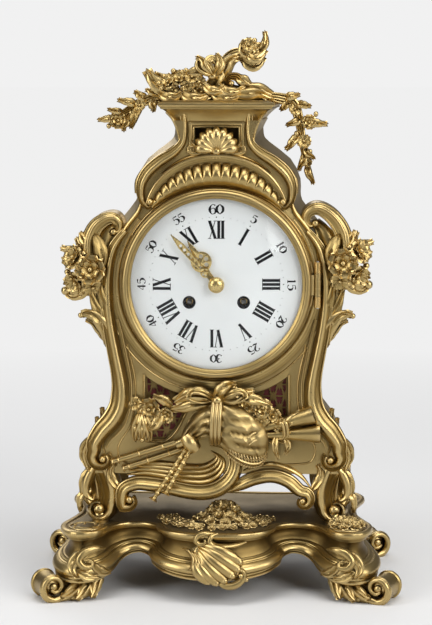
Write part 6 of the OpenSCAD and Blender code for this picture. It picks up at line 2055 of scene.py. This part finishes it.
@dataclass
class Face:
    """The enamel dial with its numerals, the bezel and the hands."""

    profile: Tuple[Pair, ...] = ((0, 5.6), (30, 5.3), (60, 4.6), (77.2, 3.7))
    rim: float = 77.2
    hour_radius: float = 48.2
    track_radius: float = 59.2
    figure_radius: float = 66.2
    hole_x: float = 24.0
    hole_z: float = -16.0
    hinge: Pair = (89.0, -58.0)
    glass_radius: float = 77.0
    glass_edge: float = 58.7
    glass_rise: float = 13.0
    silk_half: float = 68.0
    silk_foot: float = 133.0
    silk_top: float = 199.0
    silk_cut: float = 83.0
    silk_depth: float = 6.6
    silk_wave: float = 0.12

    def surface(self, x: np.ndarray, z: np.ndarray) -> np.ndarray:
        """Gives the depth of the dial's surface at places right of and above its centre."""
        r = np.hypot(x, z)
        return FRONT - np.interp(r, [p[0] for p in self.profile], [p[1] for p in self.profile])

    def stroke(self, line: Line, width: Values, at: Pair, steps: int = 12) -> Shape:
        """Fires one stroke of a numeral onto the dial.

        Args:
            line: Its line, to the right and up, about the numeral's own centre.
            width: Its half widths along the line.
            at: The numeral's radius and its direction from the dial's top, in degrees.
            steps: How many pieces it has.

        Returns:
            The stroke.
        """
        a = math.radians(at[1])
        made = FOUNDRY.bar(Moulding.FLAT, line, width, (1.0,), y=0.0, steps=steps)
        u, v = made.points[:, 0], made.points[:, 2] + at[0]
        x, z = v * math.sin(a) + u * math.cos(a), v * math.cos(a) - u * math.sin(a)
        lift = np.where(made.points[:, 1] < -0.5, 0.09, -0.15)
        return Shape(np.column_stack([x, self.surface(x, z) - lift, z + DIAL_HEIGHT]), made.faces,
                     np.full(len(x), EVEN))

    def roman(self, text: Sequence[str], at: Pair) -> List[Shape]:
        """Sets one Roman numeral, read outwards.

        Args:
            text: Its signs.
            at: Its middle radius and its direction.

        Returns:
            Its strokes.
        """
        half, thin, thick, serif = 7.7, 0.34, 1.26, (0.26,)
        out = []
        x = -sum(SIGN_WIDTHS[s] for s in text) / 2
        for sign in text:
            mid = x + SIGN_WIDTHS[sign] / 2
            if sign == "I":
                bars = [(0, 0, thick)]
                serifs = [(0, 1.9)]
            elif sign == "V":
                bars = [(-2.9, 0.4, thick), (2.7, 0.3, thin)]
                serifs = [(-2.6, 1.7), (2.6, 1.4)]
            else:
                bars = [(-2.6, 2.6, thick), (2.4, -2.4, thin)]
                serifs = [(-2.5, 1.5), (2.5, 1.5)]
            for top, bottom, w in bars:
                out.append(self.stroke([(mid + top, half), (mid + (top + bottom) / 2, 0),
                    (mid + bottom, -half)], (w,), at, 6))
            for s, w in serifs:
                line = [(mid + s - w, half), (mid + s, half), (mid + s + w, half)]
                out.append(self.stroke(line, serif, at, 4))
                if sign != "V":
                    out.append(self.stroke([(u, -v) for u, v in line[::-1]], serif, at, 4))
            x += SIGN_WIDTHS[sign]
        return out

    def digit(self, sign: str, x: float, size: float, at: Pair) -> List[Shape]:
        """Sets one digit with swelling strokes, at a middle radius and a direction."""
        return [self.stroke([(x + u * size, v * size) for u, v in line], [w * size * 1.1 for w in width], at,
            14) for line, width in FIGURES[sign]]

    def depth_at(self, x: float, z: float) -> float:
        """Gives the depth of the dial's surface at one place."""
        return float(self.surface(np.array([x]), np.array([z]))[0])

    def plate(self) -> None:
        """Smooths the enamel and bores it for the hands and the winding squares."""
        front = [(self.rim * math.sin(t * math.pi / 2) if t else 0.01) for t in np.linspace(0, 1, 22)]
        ring = [(r, float(np.interp(r, *zip(*self.profile)))) for r in front]
        back = [(self.rim, 2.0), (60.0, 2.4), (30.0, 2.9), (0.01, 3.4)]
        turned = self.wheel([(r, -FRONT + f) for r, f in ring + back], 180)
        plate = Casting().add(turned).build("dial_plate", "dial", finish=Finish.WHITE, slot="white_enamel",
            angle=30.0, merge=FINE_WELD)
        for x, z, r in ((0, 0, 4.6), (-self.hole_x, self.hole_z, 5.6), (self.hole_x, self.hole_z, 5.6)):
            Bench.clear()
            bpy.ops.mesh.primitive_cylinder_add(
                vertices=64, radius=r * MM, depth=20 * MM, rotation=(math.pi / 2, 0, 0),
                location=(x * MM, (FRONT - 4) * MM, (DIAL_HEIGHT + z) * MM))
            drill = bpy.context.object
            Bench.apply(plate, "BOOLEAN", object=drill, operation="DIFFERENCE", solver="EXACT")
            bpy.data.objects.remove(drill)

    def numerals(self) -> None:
        """Fires the hours, the minute figures and the minute dots."""
        c = Casting()
        for hour, text in enumerate(HOURS):
            c.add(*self.roman(text, (self.hour_radius, 30.0 * hour)))
        for k in range(12):
            text = str(60 if k == 0 else 5 * k)
            size = 8.6 if k == 0 else 7.2
            pitch = size * 0.72
            for i, sign in enumerate(text):
                x = (i - (len(text) - 1) / 2) * pitch
                c.add(*self.digit(sign, x, size, (self.figure_radius, 30.0 * k)))
        for minute in range(60):
            a = math.radians(6.0 * minute)
            x, z = self.track_radius * math.sin(a), self.track_radius * math.cos(a)
            r = 0.62 if minute % 5 == 0 else 0.36
            c.add(FOUNDRY.ball((x, self.depth_at(x, z), z + DIAL_HEIGHT), (r, 0.12, r), 1))
        c.build("dial_numerals", "dial", finish=Finish.INK, slot="white_enamel", merge=FINE_WELD)

    def collars(self) -> None:
        """Rims the two winding holes in black and lines them with a black funnel, painted shade for the dark
        inside the holes.
        """
        c = Casting()
        y = self.depth_at(self.hole_x, self.hole_z)
        # Painted shade: the funnel runs 5.6 mm into each hole behind a black rim at the dial's face, standing
        # in for the dark inside.
        section = ((5.7, 0.12), (5.5, 0.34), (5.2, 0.3), (4.8, -0.5), (3.6, -1.6), (3.3, -5.6), (4.2, -5.6),
                   (5.3, -3.0), (5.5, -0.6), (5.56, 0.0))
        for s in (-1, 1):
            rings = [np.array([(s * self.hole_x + r * math.cos(math.tau * k / 40), y - lift,
                DIAL_HEIGHT + self.hole_z + r * math.sin(math.tau * k / 40)) for k in range(40)]) for r,
                lift in section]
            c.add(FOUNDRY.drawn(rings, (EVEN,) * len(section), looped=True))
        c.build("winding_hole_shades", "dial", finish=Finish.JET, slot="white_enamel", merge=FINE_WELD)

    def wheel(self, profile: Sequence[Pair], around: int = 144) -> Shape:
        """Turns a closed ring about the dial's axis.

        Args:
            profile: Its section, as radius and distance in front of the case's middle plane.
            around: How many steps it has around.

        Returns:
            The ring.
        """
        rings = []
        for k in range(around):
            a = math.tau * k / around
            rings.append(np.array([(r * math.sin(a), -f, DIAL_HEIGHT + r * math.cos(a)) for r, f in profile]))
        made = FOUNDRY.drawn(rings, looped=True)
        out = np.array([f for _, f in profile])
        # Painted shade: the relief falls towards the back, so the gilding darkens the parts of the bezel
        # nearest the case.
        share = np.clip((out - out.min()) / (out.max() - out.min()) * 0.6 + 0.4, 0, 1)
        return Shape(made.points, made.faces, np.tile(share, around))

    def bezel(self) -> None:
        """Turns the bezel, with its knuckle."""
        profile = ((77.5, 53.4), (82.5, 52.4), (84.0, 52.9), (84.5, 54.2), (84.5, 56.9), (84.1, 57.7),
                   (83.2, 58.1), (83.0, 58.9), (83.5, 60.0), (83.3, 61.4), (82.4, 62.7), (81.0, 63.6),
                   (79.7, 63.8), (78.7, 63.2), (78.3, 62.2), (78.1, 61.2), (77.8, 60.8), (76.9, 60.5),
                   (76.0, 59.8), (75.5, 58.8), (75.5, 55.8), (77.5, 55.5))
        c = Casting().add(self.wheel(profile))
        x, y = self.hinge
        c.add(FOUNDRY.rod([(x, y, DIAL_HEIGHT + h) for h in (-10, 0, 10)], (3.0,), steps=8))
        for h in (-10, -3.4, 3.4, 10):
            c.add(FOUNDRY.rod([(x, y, DIAL_HEIGHT + h * 0.93 + d) for d in (-0.5, 0.5)], (3.3,), steps=2))
        knuckle = [(83.6, -56.6, DIAL_HEIGHT + h) for h in (-9, 0, 9)]
        c.add(FOUNDRY.bar(Moulding.ROUND, knuckle, (3.4,), (4.0,), steps=6))
        c.build("bezel_ring", "bezel", finish=Finish.BEZEL, body="bezel_door", merge=FINE_WELD)

    def glass(self) -> None:
        """Blows the convex glass that sits in the bezel."""
        r, edge, rise = self.glass_radius, self.glass_edge, self.glass_rise
        globe = (r**2 + rise**2) / (2 * rise)
        dome = [(max(0.01, r * t), edge - globe + rise + math.sqrt(globe**2 - (r * t) ** 2))
                for t in np.linspace(0, 1, 18)]
        under = [(max(0.01, out * 0.977), f - 1.6) for out, f in dome][::-1]
        under[0] = (75.2, edge - 0.1)
        Casting().add(self.wheel(dome + [(r, edge - 0.1)] + under, 120)).build("bezel_glass", "dial_glass",
            finish=Finish.GLASS, body="bezel_door", slot="dial_glass", angle=30.0, merge=FINE_WELD)

    def hands(self) -> None:
        """Eases the edges of the hands."""
        for node, body in (("minute_hand", "minute_hand_set"), ("hour_hand", "hour_hand_set")):
            piece = Wardrobe.copy(node, 0.12)
            Wardrobe.dress(piece, node, finish=Finish.HANDS, body=body, slot="gilt_hands", angle=35.0)

    def silk(self) -> None:
        """Stretches the silk behind the frets."""
        Bench.clear()
        bpy.ops.mesh.primitive_grid_add(x_subdivisions=68, y_subdivisions=24, size=2.0)
        obj = bpy.context.object
        obj.name = "fret_silk"
        for v in obj.data.vertices:
            x = v.co.x * self.silk_half
            drop = self.silk_cut**2 - x * x
            top = min(self.silk_top, DIAL_HEIGHT - math.sqrt(drop)) if drop > 0 else self.silk_top
            t = (v.co.y + 1) / 2
            wave = self.silk_wave * math.sin(x * 0.9) * math.sin(math.pi * t)
            high = self.silk_foot + (top - self.silk_foot) * t
            v.co = (x * MM, (FRONT + self.silk_depth + wave) * MM, high * MM)
        Bench.apply(obj, "SOLIDIFY", thickness=0.35 * MM, offset=0.0)
        Wardrobe.dress(obj, "silk_backing", finish=Finish.SILK, slot="red_silk", merge=SILK_WELD)

    def build(self) -> None:
        """Builds the face."""
        self.plate()
        self.numerals()
        self.collars()
        self.bezel()
        self.glass()
        self.hands()
        self.silk()


# Setting


@dataclass
class Studio:
    """The floor, the lamps and the camera at the photograph's view."""

    lens: float = 111.29
    sensor: float = 36.0
    place: Triple = (0.0410, -1.7467, 0.4632)
    tilt: float = 90.0 - 7.081
    pan: float = 1.400
    floor_size: float = 120.0
    backdrop: float = 0.87
    sky_strength: float = 0.52
    sky_seen: float = 0.88
    aim: Triple = (0, 0, 0.25)
    boxes: Tuple[Tuple[str, Triple, Pair, float], ...] = (("left_box", (-1.45, -1.0, 0.95), (0.8, 1.6),
        16.5), ("right_box", (1.5, -0.7, 0.9), (0.6, 1.4), 10.5), ("top_box", (0.1, -0.45, 1.9), (1.3, 0.9),
        14.5), ("front_box", (1.5, -2.1, 1.45), (1.1, 1.5), 31.0), ("back_box", (-0.4, 1.6, 1.2), (1.4, 0.9),
        10.0))

    def floor(self) -> None:
        """Lays a pale seamless floor that keeps the clock's shadow."""
        Bench.clear()
        bpy.ops.mesh.primitive_plane_add(size=self.floor_size, location=(0, 0, 0))
        obj = bpy.context.object
        obj.name = "floor"
        p = Palette("floor_paper", Metallic=0.0, Roughness=0.9, Specular_IOR_Level=0.1)
        cloud = p.noise(400.0, 2.0)
        p.feed("Base Color", p.blend(cloud, (0.71, 0.71, 0.71), (0.73, 0.73, 0.73)))
        away = p.node("ShaderNodeVectorMath", {"operation": "LENGTH"})
        p.tree.links.new(p.place, away.inputs[0])
        rays = p.node("ShaderNodeLightPath")
        far = Sock(p.tree, away.outputs["Value"]).between(0.25, 1.5) * Sock(
            p.tree, rays.outputs["Is Camera Ray"])
        glow = p.node("ShaderNodeEmission", Color=(*(self.backdrop,) * 3, 1.0), Strength=1.0)
        p.layer(far, p.shader, glow)
        obj.data.materials.append(p.material)

    def sky(self) -> None:
        """Surrounds the clock with even grey light, and white where it is seen."""
        world = bpy.data.worlds.new("studio")
        bpy.context.scene.world = world
        world.use_nodes = True
        tree = world.node_tree
        tree.nodes.clear()
        out, light, seen, mixed, rays, place, split, ramp = (tree.nodes.new("ShaderNode" + kind)
            for kind in ("OutputWorld", "Background", "Background", "MixShader", "LightPath", "TexCoord",
            "SeparateXYZ", "ValToRGB"))
        for stop, height, colour in zip(ramp.color_ramp.elements, (0.42, 0.85),
                ((0.30, 0.29, 0.28, 1), (0.75, 0.76, 0.78, 1))):
            stop.position = height
            stop.color = colour
        light.inputs["Strength"].default_value = self.sky_strength
        seen.inputs["Color"].default_value = (*(self.sky_seen,) * 3, 1)
        seen.inputs["Strength"].default_value = 1.0
        for source, plug in (
                (place.outputs["Generated"], split.inputs[0]), (split.outputs["Z"], ramp.inputs[0]),
                (ramp.outputs[0], light.inputs["Color"]), (rays.outputs["Is Camera Ray"], mixed.inputs[0]),
                (light.outputs[0], mixed.inputs[1]), (seen.outputs[0], mixed.inputs[2]),
                (mixed.outputs[0], out.inputs[0])):
            tree.links.new(source, plug)

    def lamp(self, name: str, at: Triple, size: Pair, power: float) -> None:
        """Sets up one soft box that points at the clock.

        Args:
            name: Its name.
            at: Where it stands.
            size: Its width and height.
            power: Its power in watts.
        """
        data = bpy.data.lights.new(name, "AREA")
        data.shape = "RECTANGLE"
        data.size, data.size_y = size
        data.energy = power
        obj = bpy.data.objects.new(name, data)
        obj.location = at
        obj.rotation_euler = (Vector(self.aim) - Vector(at)).to_track_quat("-Z", "Y").to_euler()
        bpy.context.scene.collection.objects.link(obj)

    def camera(self) -> None:
        """Puts the camera at the photograph's view."""
        data = bpy.data.cameras.new("camera")
        data.lens = self.lens
        data.sensor_width = self.sensor
        data.clip_start = 0.05
        data.clip_end = 200.0
        obj = bpy.data.objects.new("camera", data)
        obj.location = self.place
        obj.rotation_euler = (math.radians(self.tilt), 0.0, math.radians(self.pan))
        bpy.context.scene.collection.objects.link(obj)
        bpy.context.scene.camera = obj

    def build(self) -> None:
        """Sets the whole studio."""
        self.camera()
        self.floor()
        self.sky()
        for box in self.boxes:
            self.lamp(*box)
        bpy.context.scene.view_settings.view_transform = "Standard"


KEPT_NODES = ((Finish.GILT, ("left_fret", "right_fret", "back_door")),
    (Finish.BRASS, ("bezel_seat", "front_plate", "back_plate", "plate_pillars", "minute_wheel", "hour_wheel",
    "centre_wheel", "intermediate_wheel", "third_wheel", "escape_wheel", "going_barrel", "strike_barrel",
    "pendulum")), (Finish.IRON, ("going_arbor", "strike_arbor")),
    (Finish.STEEL, ("cannon_pinion", "pallet_anchor", "bell_hammer", "bezel_hinge_pin", "back_door_pin")),
    (Finish.BLUED, ("base_bolts",)), (Finish.BELL, ("bell",)))


def main() -> None:
    """Builds the studio and the clock, piece by piece."""
    logging.basicConfig(level=logging.INFO, format="%(name)s: %(message)s")
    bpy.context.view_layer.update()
    Studio().build()
    for part in (Platform(), Foot(), Leg(), Case(), SideMount(), Trophy(), Crest(), Face()):
        part.build()
    for finish, nodes in KEPT_NODES:
        Wardrobe.keep(nodes, finish)


if __name__ == "__main__":
    main()
